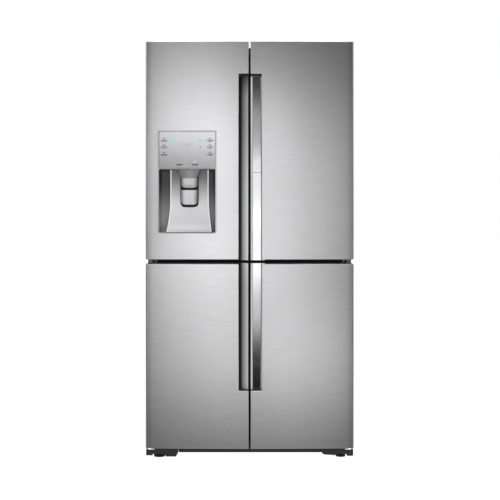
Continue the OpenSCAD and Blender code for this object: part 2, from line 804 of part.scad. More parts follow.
module upper_handle_trim() color("white") {
    trim_plate(lever_z + 1, pocket_z1 - 1.5);
    for (z = [lever_z + 12, pocket_z1 - 20]) trim_foot(z, z + 4);
}

module release_lever() color("white") {
    trim_plate(up_z0 - overrun, lever_z - 1);
    for (z = [908, 1140]) difference() {
        for (dz = [-8, 6.5])
            block([lever_pin[0] - 1.5, lever_pin[1] - 3.1, z + dz],
                [lever_pin[0] + 3, lever_pin[1] + 1.7, z + dz + 7.5]);
        translate([lever_pin[0], lever_pin[1], z - 10]) cylinder(r = 1.31, h = 30);
    }
}

module showcase_frame() color("white") {
    difference() {
        block([gap_x + 2, frame_front, up_z0 + 4], [frame_x1, door_back, up_z1 - 4]);
        block([60, frame_front - 1, up_z0 + 50], [388, door_back + 1, up_z1 - 50]);
        hinge_bore(up_z0, up_z0 + 20);
        hinge_bore(up_z1 - 22, up_z1);
    }
    door_gasket(14, gasket_x1, up_z0 + 5, fridge_z1 + 30, door_back + 0.05, case_front - seal_gap);
}

module showcase_bins() color("azure") {
    for (bin = [[930, -252], [1200, -225], [1470, -225]])
        tray([63, frame_front + 4, bin[0]], [385, bin[1], bin[0] + 110], 2.5);
}

// ---------- lower doors ----------

module lower_door_fittings(pocket) {
    end_cap(low_z0, low_z0 + cap_h, door_back, []);
    end_cap(low_z1 - cap_h, low_z1, door_back, pocket);
    pocket_shell(pocket_z0, low_z1 + overrun, pocket_z0, pocket);
}

module lower_door_liner() {
    inner_panel(low_z0, low_z1, door_back);
    block([55, door_back - 0.01, 135], [390, door_back + 16, 795]);
}

module lower_door_gasket() {
    door_gasket(10, gasket_x1, freezer_z0 - 30, low_z1 - 12, door_back, case_front - seal_gap);
}

module lower_left_door_skin() color("silver") handed(-1)
    door_skin(low_z0, low_z1, door_back, pocket_z0, low_z1 + 1, left_pocket);

module lower_left_door_fittings() color("dimgray") handed(-1)
    lower_door_fittings(left_pocket);

module lower_left_door_foam() color("khaki") handed(-1)
    door_core(low_z0, low_z1, door_back, pocket_z0 - 2, low_z1, left_pocket);

module lower_left_door_liner() color("white") handed(-1) lower_door_liner();

module lower_left_door_gasket() color("dimgray") handed(-1) lower_door_gasket();

module lower_right_door_skin() color("silver")
    door_skin(low_z0, low_z1, door_back, pocket_z0, low_z1 + 1, right_pocket);

module lower_right_door_fittings() color("dimgray") lower_door_fittings(right_pocket);

module lower_right_door_foam() color("khaki")
    door_core(low_z0, low_z1, door_back, pocket_z0 - 2, low_z1, right_pocket);

module lower_right_door_liner() color("white") lower_door_liner();

module lower_right_door_gasket() color("dimgray") lower_door_gasket();

module lower_handle_trim() color("white") {
    trim_plate(pocket_z0 + 1.5, low_z1 + overrun);
    for (z = [pocket_z0 + 16, low_z1 - 20]) trim_foot(z, z + 4);
}

outer_case();
insulation_foam();
inner_liners();
air_ducts();
base_frame();
toe_grille();
door_hinges();
hinge_covers();
compressor();
condenser();
compressor_cover();
evaporators();
ice_maker_housing();
glass_shelves();
rear_inlets();
levelling_leg_left();
levelling_leg_right();
rear_rollers();
condenser_fan();
evaporator_fan();
ice_bucket();
crisper_left();
crisper_right();
pantry_drawer();
freezer_drawer_upper();
freezer_drawer_lower();
flex_drawer_upper();
flex_drawer_lower();
upper_left_door_skin();
upper_left_door_fittings();
upper_left_door_foam();
upper_left_door_liner();
upper_left_door_gasket();
upper_left_door_bins();
dispenser_housing();
dispenser_panel();
dispenser_tongue();
water_lever();
ice_lever();
mullion_flap();
upper_right_door_skin();
upper_right_door_fittings();
upper_right_door_foam();
upper_right_door_liner();
upper_right_door_gasket();
upper_handle_trim();
release_lever();
showcase_frame();
showcase_bins();
lower_left_door_skin();
lower_left_door_fittings();
lower_left_door_foam();
lower_left_door_liner();
lower_left_door_gasket();
lower_right_door_skin();
lower_right_door_fittings();
lower_right_door_foam();
lower_right_door_liner();
lower_right_door_gasket();
lower_handle_trim();
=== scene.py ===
"""Looks of a french door refrigerator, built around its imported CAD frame.

Metres, +X to the right, +Y to the back, +Z up, origin on the floor. Pieces take their places from
the frame's own boxes; numbers given here are their mouldings, and details inside those boxes.
"""

import json
import math

import bmesh
import bpy
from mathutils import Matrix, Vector

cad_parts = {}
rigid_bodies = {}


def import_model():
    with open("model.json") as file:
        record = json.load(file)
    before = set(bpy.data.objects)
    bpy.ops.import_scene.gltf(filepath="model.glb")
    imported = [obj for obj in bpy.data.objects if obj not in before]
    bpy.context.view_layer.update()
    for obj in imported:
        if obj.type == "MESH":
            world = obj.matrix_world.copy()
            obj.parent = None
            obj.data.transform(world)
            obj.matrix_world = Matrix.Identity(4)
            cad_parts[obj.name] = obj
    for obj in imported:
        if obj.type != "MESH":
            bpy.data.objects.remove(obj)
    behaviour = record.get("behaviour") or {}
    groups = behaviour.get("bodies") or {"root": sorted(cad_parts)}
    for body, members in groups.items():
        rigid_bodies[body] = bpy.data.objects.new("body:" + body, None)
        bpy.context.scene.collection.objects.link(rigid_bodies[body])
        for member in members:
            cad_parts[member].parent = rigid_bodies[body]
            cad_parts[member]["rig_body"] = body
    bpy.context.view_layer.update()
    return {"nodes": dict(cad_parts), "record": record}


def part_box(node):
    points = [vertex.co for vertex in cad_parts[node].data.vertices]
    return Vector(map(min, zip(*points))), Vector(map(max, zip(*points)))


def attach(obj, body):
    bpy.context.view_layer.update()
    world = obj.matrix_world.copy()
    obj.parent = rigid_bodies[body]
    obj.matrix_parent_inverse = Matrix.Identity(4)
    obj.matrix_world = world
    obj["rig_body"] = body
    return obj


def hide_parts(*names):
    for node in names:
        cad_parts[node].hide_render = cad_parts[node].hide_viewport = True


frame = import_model()
scene = bpy.context.scene

# ---------- sizes ----------

SKIN_LO, SKIN_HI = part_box("upper_right_door_skin")
LOW_LO, LOW_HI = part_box("lower_right_door_skin")
GAP = SKIN_LO.x             # half the gap between the doors
HALF = SKIN_HI.x            # half the width across the doors
FRONT = LOW_LO.y            # the door faces at the middle
DOOR_BACK = LOW_HI.y
BOW = 0.014                 # how far the faces bow forward over the whole width
BOW_R = (HALF * HALF + BOW * BOW) / (2 * BOW)
CORNER_R = 0.008            # radius of the outer upright edges
EDGE_R = 0.0024             # bend of the sheet at every other edge
SHEET = 0.0009
HEM = 0.0036                # depth of the skin's return into a pocket
LIPS = {-1: GAP + 0.044, 1: GAP + 0.049}    # outer edge of the left and right pockets' mouths
DEEP = {-1: 0.038, 1: 0.026}                # greatest depth of their floors
SHALLOW = 0.015             # depth of a pocket's floor at the door gap
UNDERCUT = 0.014            # how far a pocket reaches behind its mouth's edge
OVERRUN = 0.003             # how far a pocket runs past its door's end
FLOOR_STEPS = 12
POCKET_Z0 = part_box("lower_handle_trim")[0].z - 0.0015
POCKET_Z1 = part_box("upper_handle_trim")[1].z + 0.0015
HINGE = Vector((0.432, -0.363, 0))      # the right-hand doors' pins

DOOR = "upper_left_door"
HOUSE_LO, HOUSE_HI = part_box("dispenser_housing")
RIM = 0.005                 # width of the dispenser's bezel
TONGUE_LO, TONGUE_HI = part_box("dispenser_tongue")
TONGUE_X = (TONGUE_LO.x + TONGUE_HI.x) / 2              # the levers' middle too
LEVER_Y = FRONT + 0.052     # the levers' pins

CASE_LO, CASE_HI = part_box("outer_case")
ROOM_LO, ROOM_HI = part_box("inner_liners")
WALL = 0.002                # thickness of the liners
UPPER_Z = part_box("crisper_left")[0].z - 0.099           # floor of the upper compartment
LOWER_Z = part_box("freezer_drawer_upper")[1].z + 0.021   # ceiling of the lower ones
PARTITION = 0.03            # half the wall between the lower compartments
SHELF_Z = (1.126, 1.31, 1.5)            # the glass shelves


def lerp(a, b, t):
    return a + (b - a) * t


def front_y(x):
    """Y of the bowed door face at x."""
    return FRONT + BOW_R - math.sqrt(BOW_R * BOW_R - x * x)


# ---------- shapes ----------

def arc(cx, cy, r, a0, a1, steps):
    """Points of an arc from a0 to a1 degrees; r may be a pair for an ellipse."""
    rx, ry = r if isinstance(r, tuple) else (r, r)
    turns = [math.radians(lerp(a0, a1, i / steps)) for i in range(steps + 1)]
    return [(cx + rx * math.cos(a), cy + ry * math.sin(a)) for a in turns]


def circle(cx, cy, r, steps):
    return arc(cx, cy, r, 0, 360, steps)[:-1]


def round_rect(lo, hi, radii, steps=5, between=0, start=0.0):
    """Outline of a rectangle with rounded corners, counter-clockwise from the upper right one.

    Its level sides get more points between the corners, spread evenly from start inside them.
    """
    a, b, c, d = radii if isinstance(radii, (list, tuple)) else [radii] * 4
    centres = [(hi[0] - a, hi[1] - a, a), (lo[0] + b, hi[1] - b, b),
               (lo[0] + c, lo[1] + c, c), (hi[0] - d, lo[1] + d, d)]
    sides = {0: (hi[0] - start, lo[0] + start, hi[1]), 2: (lo[0] + start, hi[0] - start, lo[1])}
    points = []
    for i, (x, y, r) in enumerate(centres):
        points += arc(x, y, r, 90 * i, 90 * i + 90, steps)
        if i in sides:
            x0, x1, edge = sides[i]
            points += [(lerp(x0, x1, t / (between + 1)), edge) for t in range(1, between + 1)]
    return points


def grown(lo, hi, d):
    """A rectangle's lower left and upper right corners, moved outwards by d."""
    return (lo[0] - d, lo[1] - d), (hi[0] + d, hi[1] + d)


def corners(lo, hi):
    return [(lo[0], lo[1]), (hi[0], lo[1]), (hi[0], hi[1]), (lo[0], hi[1])]


def place(axis, w, u, v):
    """A point at w along axis, and at u and v along the other two, in X, Y, Z order."""
    return {"x": (w, u, v), "y": (u, w, v), "z": (u, v, w)}[axis]


def body_of(node):
    return frame["nodes"][node]["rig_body"]


SLOT_OF = {p["node"]: p["material_slot"] for p in frame["record"]["subparts"]}


class Shape:
    """A mesh under construction."""

    def __init__(self):
        self.bm = bmesh.new()

    def face(self, points):
        self.bm.faces.new([self.bm.verts.new(p) for p in points])
        return self

    def loft(self, rings, caps=True, closed=True):
        """A surface over rings that all have the same number of points."""
        rows = [[self.bm.verts.new(p) for p in ring] for ring in rings]
        count = len(rows[0])
        for a, b in zip(rows, rows[1:]):
            for i in range(count if closed else count - 1):
                j = (i + 1) % count
                self.bm.faces.new((a[i], a[j], b[j], b[i]))
        if caps:
            self.bm.faces.new(rows[0][::-1])
            self.bm.faces.new(rows[-1])
        return self

    def ring(self, rings):
        """A surface over rings that comes back to the first."""
        return self.loft(rings + rings[:1], caps=False)

    def prism(self, outline, axis, a, b):
        """An outline drawn along an axis from a to b."""
        return self.loft([[place(axis, w, u, v) for u, v in outline] for w in (a, b)])

    def box(self, lo, hi):
        """A box between two corners, given in any order."""
        lo, hi = zip(*(sorted(pair) for pair in zip(lo, hi)))
        return self.prism(corners(lo, hi), "z", lo[2], hi[2])

    def frame(self, outer, inner, axis, a, b):
        """A band between two outlines of equal length, drawn along an axis."""
        return self.ring([[place(axis, w, u, v) for u, v in line]
                          for line, w in ((outer, a), (outer, b), (inner, b), (inner, a))])

    def tube(self, path, r, sides=10):
        """A round bar along a path."""
        points = [Vector(p) for p in path]
        rings = []
        side = None
        for i, p in enumerate(points):
            ahead = (points[min(i + 1, len(points) - 1)] - points[max(i - 1, 0)]).normalized()
            if side is None:
                side = ahead.orthogonal()
            side = (side - ahead * side.dot(ahead)).normalized()
            up = ahead.cross(side)
            rings.append([p + (side * u + up * v) * r for u, v in circle(0, 0, 1, sides)])
        return self.loft(rings)

    def lathe(self, profile, centre, axis="z", sides=28):
        """A profile of (radius, height) pairs turned about an axis through centre."""
        c = Vector(centre)
        return self.loft([[c + Vector(place(axis, h, u, v)) for u, v in circle(0, 0, r, sides)]
                          for r, h in profile])

    def pin(self, r, a, b, centre, axis="z", sides=14):
        """A straight pin from a to b along an axis through centre."""
        return self.lathe([(r, a), (r, b)], centre, axis, sides)

    def absorb(self, other):
        """Takes in another shape, and uses it up."""
        mesh = bpy.data.meshes.new("part")
        other.bm.to_mesh(mesh)
        other.bm.free()
        self.bm.from_mesh(mesh)
        bpy.data.meshes.remove(mesh)

    def weld(self):
        bmesh.ops.remove_doubles(self.bm, verts=self.bm.verts[:], dist=1e-5)
        return self

    def outward(self):
        bmesh.ops.recalc_face_normals(self.bm, faces=self.bm.faces[:])
        return self

    def rounded(self, width, steps=2):
        """Rounds every edge sharper than 35 degrees."""
        self.weld().outward()
        edges = [e for e in self.bm.edges
                 if len(e.link_faces) == 2 and e.calc_face_angle(0) > math.radians(35)]
        if edges:
            bmesh.ops.bevel(self.bm, geom=edges, offset=width, offset_type="OFFSET",
                            segments=steps, profile=0.5, affect="EDGES", clamp_overlap=True)
        return self

    def facing(self, direction):
        """Turns an open sheet so that its faces look in a direction, on the whole."""
        self.outward()
        total = sum((f.normal * f.calc_area() for f in self.bm.faces), Vector())
        if total.dot(Vector(direction)) < 0:
            bmesh.ops.reverse_faces(self.bm, faces=self.bm.faces[:])
        return self

    def mirrored(self, side):
        """Moves a right-hand shape to the left for side -1."""
        if side < 0:
            bmesh.ops.scale(self.bm, vec=(-1, 1, 1), verts=self.bm.verts[:])
            bmesh.ops.reverse_faces(self.bm, faces=self.bm.faces[:])
        return self

    def piece(self, name, body, slot, material, thick=0, sharp=40):
        """The finished object, riding on a body."""
        self.bm.normal_update()
        for e in self.bm.edges:
            e.smooth = e.calc_face_angle(0) < math.radians(sharp)
        for f in self.bm.faces:
            f.smooth = True
        mesh = bpy.data.meshes.new(name)
        self.bm.to_mesh(mesh)
        self.bm.free()
        obj = bpy.data.objects.new(name, mesh)
        scene.collection.objects.link(obj)
        mesh.materials.append(material)
        if thick:
            solid = obj.modifiers.new("sheet", "SOLIDIFY")
            solid.thickness = thick
            solid.offset = -1
            solid.use_even_offset = True
        shade = obj.modifiers.new("shade", "WEIGHTED_NORMAL")
        shade.keep_sharp = True
        shade.weight = 100
        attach(obj, body)
        return obj

    def stand_in(self, name, node, material, thick=0, sharp=40):
        """The finished object, which stands for a CAD node on its body."""
        obj = self.piece(name, body_of(node), SLOT_OF[node], material, thick, sharp)
        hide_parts(node)
        return obj


def refined(node, material, width, nose=0.0):
    """Stands a copy with welded and rounded edges in for a CAD node.

    Its front edge along the top is lowered by nose.
    """
    shape = Shape()
    shape.bm.from_mesh(frame["nodes"][node].data)
    lo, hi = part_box(node)
    for v in shape.bm.verts:
        if v.co.y < lo.y + 0.001 and v.co.z > hi.z - 0.001:
            v.co.z -= nose
    shape.weld()
    bmesh.ops.dissolve_limit(shape.bm, angle_limit=math.radians(1.5), verts=shape.bm.verts[:],
                             edges=shape.bm.edges[:])
    shape.rounded(width, 3).stand_in(node + "_shell", node, material)


# ---------- materials ----------

def map_range(tree, value, source, target, kind="LINEAR"):
    """A value's place in the source range, carried over to the target range."""
    node = tree.nodes.new("ShaderNodeMapRange")
    node.interpolation_type = kind
    for name, ends in (("From", source), ("To", target)):
        node.inputs[name + " Min"].default_value, node.inputs[name + " Max"].default_value = ends
    tree.links.new(value, node.inputs["Value"])
    return node.outputs[0]


class Finish:
    """A procedural material: grain drives its colour, roughness and bump."""

    def __init__(self, name, color, rough, metal=0.0, grain=700.0, stretch=(1, 1, 1), tint=0.05,
                 swing=0.12, relief=0.00004, **sockets):
        self.mat = bpy.data.materials.new(name)
        self.mat.use_nodes = True
        self.tree = self.mat.node_tree
        self.link = self.tree.links.new
        self.node = self.tree.nodes.new
        self.shader = self.tree.nodes["Principled BSDF"]
        self.shader.inputs["Metallic"].default_value = metal
        for key, value in sockets.items():
            self.shader.inputs[key.replace("_", " ")].default_value = value
        self.place = self.node("ShaderNodeTexCoord").outputs["Object"]
        fine = self.noise(grain, stretch)
        broad = self.math("MULTIPLY", self.noise(9.0, (1, 1, 1)), 0.3)
        both = self.math("MULTIPLY_ADD", fine, 0.7, broad)
        self.paint(self.mix(both, [c * (1 - tint) for c in color],
                            [min(1, c * (1 + tint)) for c in color]))
        spread = (rough * (1 - swing), min(1, rough * (1 + swing)))
        self.link(map_range(self.tree, fine, (0, 1), spread), self.shader.inputs["Roughness"])
        if relief:
            bump = self.node("ShaderNodeBump")
            bump.inputs["Strength"].default_value = 1.0
            bump.inputs["Distance"].default_value = relief
            self.link(fine, bump.inputs["Height"])
            self.link(bump.outputs[0], self.shader.inputs["Normal"])

    def noise(self, scale, stretch, detail=3.0):
        """Noise between 0 and 1 over the object's own coordinates."""
        mapping = self.node("ShaderNodeMapping")
        mapping.inputs["Scale"].default_value = stretch
        noise = self.node("ShaderNodeTexNoise")
        noise.inputs["Scale"].default_value = scale
        noise.inputs["Detail"].default_value = detail
        self.link(self.place, mapping.inputs["Vector"])
        self.link(mapping.outputs[0], noise.inputs["Vector"])
        return noise.outputs["Fac"]

    def feed(self, socket, value):
        """Sets a socket to a number or a colour, or links an output to it."""
        if isinstance(value, (int, float)):
            socket.default_value = value
        elif isinstance(value, (list, tuple)):
            socket.default_value = (*value, 1)
        else:
            self.link(value, socket)

    def math(self, operation, *values):
        node = self.node("ShaderNodeMath")
        node.operation = operation
        for socket, value in zip(node.inputs, values):
            self.feed(socket, value)
        return node.outputs[0]

    def mix(self, factor, a, b):
        """A colour from a to b; each is a list of three numbers or an output."""
        node = self.node("ShaderNodeMix")
        node.data_type = "RGBA"
        for index, value in ((0, factor), (6, a), (7, b)):
            self.feed(node.inputs[index], value)
        return node.outputs[2]

    def paint(self, color):
        self.color = color
        self.link(color, self.shader.inputs["Base Color"])

    def fade(self, axis, start, end, gain):
        """Paints light or shade: multiplies the colour by 1 at start and by gain at end, along an
        axis from its middle.
        """
        split = self.node("ShaderNodeSeparateXYZ")
        self.link(self.place, split.inputs[0])
        away = self.math("ABSOLUTE", split.outputs[axis])
        ends, gains = zip(*sorted([(start, 1.0), (end, gain)]))
        scaled = self.node("ShaderNodeVectorMath")
        scaled.operation = "SCALE"
        self.link(self.color, scaled.inputs[0])
        self.link(map_range(self.tree, away, ends, gains, "SMOOTHSTEP"), scaled.inputs["Scale"])
        self.paint(scaled.outputs[0])
        return self


def grey(value, blue=0.0):
    return (value, value, value + blue)


def look(name, color, rough, fades=(), **rest):
    """The material of a finish with fades of painted light and shade over it."""
    f = Finish(name, color, rough, **rest)
    for fade in fades:
        f.fade(*fade)
    return f.mat


def door_steel():
    """Satin steel, brushed level: fine lines of uneven length over broader streaks, with painted
    shade at the outer upright edges and on the side facing the door gap.
    """
    f = Finish("brushed_steel", (0.62, 0.62, 0.63), 0.30, metal=1.0, grain=1.0,
               stretch=(14, 14, 700), tint=0.10, swing=0.2, relief=0.00003,
               Anisotropic=0.5, Anisotropic_Rotation=0.25)
    tangent = f.node("ShaderNodeTangent")
    tangent.direction_type = "RADIAL"
    tangent.axis = "Z"
    f.link(tangent.outputs[0], f.shader.inputs["Tangent"])
    streaks = f.noise(1.0, (9, 9, 160), 4.0)
    f.paint(f.mix(0.5, f.color, f.mix(streaks, [0.50, 0.50, 0.51], [0.76, 0.76, 0.77])))
    # painted shade: darker towards the outer upright edges, and on the side wall facing the door
    # gap
    return f.fade("X", 0.415, 0.458, 0.68).fade("X", GAP + 0.0008, GAP + 0.0001, 0.5).mat


STEEL = door_steel()
CHROME = look("polished_chrome", grey(0.60, 0.008), 0.16, metal=1.0, grain=60, tint=0.02,
              swing=0.3, relief=0)
# painted shade: near black under the pocket's lip and at the door gap, and darker towards the
# pocket's top and bottom
POCKET = look("satin_moulding", grey(0.70, 0.01), 0.45, metal=0.25, grain=900, tint=0.03,
              relief=0.00001, fades=(("X", 0.024, 0.042, 0.02),
                                     ("X", GAP + 0.0040, GAP + 0.0015, 0.05),
                                     ("Z", 1.05, 1.58, 0.5), ("Z", 1.56, 1.68, 0.25),
                                     ("Z", 0.95, 0.72, 0.75)))
# painted shade: near black at the door gap
RIGHT_POCKET = look("grey_satin_moulding", grey(0.66, 0.01), 0.45, metal=0.25, grain=900,
                    tint=0.03, relief=0.00001, fades=[("X", GAP + 0.0014, GAP + 0.0006, 0.05)])
BLACK = look("black_plastic", grey(0.010, 0.001), 0.45, grain=1600, tint=0.15,
             Specular_IOR_Level=0.3)
BEZEL = look("bezel", grey(0.48, 0.006), 0.34, metal=0.6, grain=1600, tint=0.06)
DARK = look("dark_grey_plastic", grey(0.024, 0.001), 0.40, grain=1400, tint=0.1)
# painted shade: the hinges darken towards the floor
HINGE_STEEL = look("plain_steel", grey(0.22), 0.30, metal=1.0, grain=300, stretch=(1, 1, 4),
                   tint=0.08, fades=[("Z", 0.2, 0.08, 0.3)])
PAINT = look("case_paint", grey(0.36, 0.004), 0.38, metal=0.3, grain=1100, relief=0.00003)
# painted shade: the front flange seen through the door gaps is near black for the shade there
FLANGE_SHADE = look("flange_painted_shade", grey(0.03, 0.001), 0.55, grain=1100, Specular_IOR_Level=0.2)
BASE_PAINT = look("frame_paint", grey(0.045, 0.001), 0.45, grain=900, tint=0.12)
LINER = look("liner_white", (0.80, 0.81, 0.82), 0.28, grain=600, tint=0.015, relief=0.00002)
TRIM_WHITE = look("white_moulding", (0.70, 0.71, 0.72), 0.32, grain=1500, tint=0.02)
GREY = look("grey_moulding", grey(0.22, 0.004), 0.42, grain=1500, tint=0.06)
RUBBER = look("gasket_rubber", grey(0.045, 0.002), 0.7, grain=1300, tint=0.1)
FOAM = look("foam", (0.72, 0.68, 0.56), 0.9, grain=260, tint=0.2, relief=0.0005)
BRASS = look("brass", (0.62, 0.44, 0.17), 0.32, metal=1.0, grain=500, tint=0.1)
COIL = look("coil_metal", (0.52, 0.36, 0.27), 0.35, metal=1.0, grain=400, tint=0.15)
GLASS = look("shelf_glass", (0.90, 0.96, 0.94), 0.03, grain=30, tint=0.02, relief=0,
             Transmission_Weight=1.0, IOR=1.45)
CLEAR = look("clear_plastic", (0.90, 0.94, 0.97), 0.10, grain=200, tint=0.02, relief=0.00002,
             Transmission_Weight=0.9, IOR=1.3)
FROST = look("frosted_plastic", (0.74, 0.78, 0.82), 0.30, grain=900, tint=0.02, relief=0.00002,
             Transmission_Weight=0.35, IOR=1.3)
SATIN = look("satin_chrome", grey(0.30, 0.006), 0.46, metal=0.8, grain=500,
             stretch=(1, 1, 0.1), relief=0.000005)
# painted highlight: near-white plastic stands in for the shine along the tongue's chrome edges
RIM_HIGHLIGHT = look("rim_painted_highlight", grey(0.95, 0.01), 0.34, grain=600, tint=0.02, relief=0)
# painted shade: the pads darken towards their sides
PAD = look("lever_pad", grey(0.54, 0.01), 0.32, metal=0.6, grain=1400, tint=0.03,
           relief=0.00001, fades=[("X", way * 0.016 - TONGUE_X, way * 0.037 - TONGUE_X, 0.35)
                                  for way in (1, -1)])
# painted shade: the tongue darkens towards its top, under the panel and spout
TONGUE = look("tongue_satin", grey(0.70, 0.01), 0.42, metal=0.1, grain=1800, tint=0.03,
              relief=0.00001, fades=[("Z", 1.10, 1.25, 0.22)])
# painted shade: the cavity's walls darken towards the top, under the panel
CAVITY = look("cavity_wall", grey(0.31, 0.005), 0.34, grain=1500, tint=0.08,
              fades=[("Z", 0.99, 1.22, 0.08)])
# painted light: the plate is made lighter towards its top
PANEL = look("panel_face", grey(0.30, 0.008), 0.26, metal=0.6, grain=2400, tint=0.02,
             relief=0.000005, Coat_Weight=0.2, fades=[("Z", 1.26, 1.425, 1.65)])
MARK = look("panel_mark", grey(0.03, 0.003), 0.6, grain=900, tint=0.1, relief=0)
CYAN = look("cyan_lamp", (0.30, 0.56, 0.58), 0.3, grain=400, tint=0.1, relief=0,
            Emission_Color=(0.3, 0.8, 0.82, 1), Emission_Strength=0.12)
PINK = look("pink_lamp", (0.72, 0.08, 0.30), 0.3, grain=400, tint=0.1, relief=0,
            Emission_Color=(0.8, 0.1, 0.35, 1), Emission_Strength=0.25)


# ---------- doors ----------

def outline(y_back, lip, extra=()):
    """Columns of a right-hand door skin from its gap side round to its hinge side."""
    xo = HALF - CORNER_R
    tilt = math.degrees(math.asin(xo / BOW_R))
    steps = 15
    regular = [round(lerp(lip, xo, i / steps), 5) for i in range(steps)]
    if extra:
        regular = [x for x in regular if not min(extra) <= x <= max(extra)] + list(extra)
    face = [(x, front_y(x)) for x in sorted(set(regular))]
    corner = arc(xo, front_y(xo) + CORNER_R * math.cos(math.radians(tilt)), CORNER_R,
                 270 + tilt, 360, 7)
    start = [(GAP, y_back), (GAP, FRONT + SHALLOW + 0.002), (GAP, front_y(GAP))]
    return start + face + corner + [(HALF, y_back)]


def inset(points, d):
    """An open line of points moved by d to its left, which is inwards for a door's outline."""
    moved = []
    for i, p in enumerate(points):
        a, b = points[max(i - 1, 0)], points[min(i + 1, len(points) - 1)]
        before = Vector((p[0] - a[0], p[1] - a[1]))
        after = Vector((b[0] - p[0], b[1] - p[1]))
        normals = [Vector((-s.y, s.x)).normalized() for s in (before, after) if s.length > 0]
        n = sum(normals, Vector((0, 0)))
        n = n * (len(normals) / n.length_squared)
        moved.append((p[0] + n.x * d, p[1] + n.y * d))
    return moved


def hole_rings(lo, hi, r):
    """Outline of a rounded hole, and a square one around it with as many points."""
    margin = 0.012
    inner = round_rect(lo, hi, r, 6, 8, r)
    outer = []
    for p in inner:
        c = [min(max(p[k], lo[k] + r), hi[k] - r) for k in (0, 1)]
        reach = (r + margin) / max(abs(p[k] - c[k]) for k in (0, 1))
        outer.append(tuple(round(c[k] + reach * (p[k] - c[k]), 5) for k in (0, 1)))
    return inner, outer


def door_skin(node, side, y_back, split_z, mouth_below, hole=None):
    """The folded steel skin, with a pocket's mouth below or above split_z at the gap side."""
    lo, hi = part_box(node)
    rim, square = hole_rings(*hole, 0.009) if hole else ([], [])
    spans = [(min(v), max(v)) for v in zip(*square)]
    columns = outline(y_back, LIPS[side], [x for x, z in square])
    inner = inset(columns, 0.006)
    rows = sorted({lo.z, split_z, hi.z} | {z for x, z in square})
    shape = Shape()
    for a, b in zip(rows, rows[1:]):
        mouth = ((a + b) / 2 < split_z) == mouth_below
        for i, (p, q) in enumerate(zip(columns, columns[1:])):
            middle = ((p[0] + q[0]) / 2, (a + b) / 2)
            in_hole = spans and all(low < m < high for m, (low, high) in zip(middle, spans))
            if not (mouth and i in (1, 2)) and not in_hole:
                shape.face([(*p, a), (*q, a), (*q, b), (*p, b)])
        if mouth:
            x, y = columns[3]
            shape.face([(x, y, a), (x, y, b), (x, y + HEM, b), (x, y + HEM, a)])
    for z in (lo.z, hi.z):
        open_end = (z == lo.z) == mouth_below
        for i, (p, q, r, s) in enumerate(zip(columns, columns[1:], inner[1:], inner)):
            if not (open_end and i in (1, 2)):
                shape.face([(*p, z), (*q, z), (*r, z), (*s, z)])
    p, q = columns[2], columns[3]
    shape.face([(*p, split_z), (*q, split_z), (q[0], q[1] + HEM, split_z),
                (p[0], p[1] + HEM, split_z)])
    shape.rounded(EDGE_R, 4)
    if hole:
        roll = 0.0006
        tucked = hole_rings(*grown(*hole, -roll), 0.0084)[0]
        shape.loft([[(x, front_y(x) + sunk, z) for x, z in ring] for ring, sunk in (
            (square, 0), (rim, 0), (tucked, roll), (tucked, 0.003))], caps=False).weld()
    shape.facing((0, -1, 0)).mirrored(side).stand_in(node + "_sheet", node, STEEL, thick=SHEET)


def floor_y(x, side):
    u = min(1, max(0, (x - GAP) / (LIPS[side] - GAP)))
    return FRONT + SHALLOW + (DEEP[side] - SHALLOW) * (1 - math.cos(math.pi * u)) / 2


def pocket_path(side):
    """Plan of a pocket's wall, from the door gap over the floor and round the undercut."""
    lip, steps = LIPS[side], FLOOR_STEPS
    floor = [(x, floor_y(x, side)) for x in (lerp(GAP, lip, i / steps) for i in range(steps))]
    low, high = FRONT + DEEP[side], FRONT + HEM
    return floor + arc(lip, (low + high) / 2, (UNDERCUT, (low - high) / 2), 90, -86, steps)


def pocket(door, side, z_open, z_shut):
    """The moulded finger pocket with a filleted end wall."""
    path = pocket_path(side)
    shape = Shape().loft([[(x, y, z) for x, y in path] for z in (z_open, z_shut)],
                         caps=False, closed=False)
    shape.face([(x, y, z_shut) for x, y in path] + [(GAP, FRONT + HEM, z_shut)])
    shape.rounded(0.002, 3).facing((0, -1, 0)).mirrored(side).piece(
        door + "_pocket", door, "dispenser_silver", POCKET if side < 0 else RIGHT_POCKET,
        thick=0.0015)


def end_shade_block(door, side, z_shut, height):
    """A black block in a pocket's closed end, standing in for the shade there."""
    near = FRONT + 0.0045
    plan = inset(pocket_path(side), 0.0006) + [(LIPS[side] - 0.0004, near), (GAP + 0.0005, near)]
    Shape().prism(plan, "z", z_shut - math.copysign(0.0004, height), z_shut - height).rounded(
        0.0008).mirrored(side).piece(door + "_pocket_end_shade", door, "door_fitting", BLACK)


def end_caps(door, side, y_back):
    """The plastic caps inside the skin's folded ends, with the boss round each hinge pin."""
    lo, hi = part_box(door + "_skin")
    lip = LIPS[side]
    wall = 0.0025           # from a pocket's plan to the cap behind it
    columns = inset(outline(y_back - 0.004, lip), 0.0012)
    behind = [(x, y + wall) for x, y in pocket_path(side)[:FLOOR_STEPS]]
    round_end = arc(lip, FRONT + (DEEP[side] + HEM) / 2,
                    (UNDERCUT + wall, (DEEP[side] - HEM) / 2 + wall), 90, 0, 6)
    corner = (lip + UNDERCUT + wall, front_y(lip + UNDERCUT) + 0.0012)
    notched = columns[:1] + behind + round_end + [corner] + [
        p for p in columns if p[0] > lip + UNDERCUT + 0.003]
    shape = Shape()
    for z, way in ((lo.z, 1), (hi.z, -1)):
        open_end = (way > 0) == door.startswith("upper")
        shape.prism(notched if open_end else columns, "z", z + way * 0.0012, z + way * 0.012)
        shape.pin(0.0125, z + way * 0.0002, z + way * 0.008, HINGE, sides=28)
    shape.rounded(0.0008).mirrored(side).stand_in(door + "_caps", door + "_fittings", BLACK)


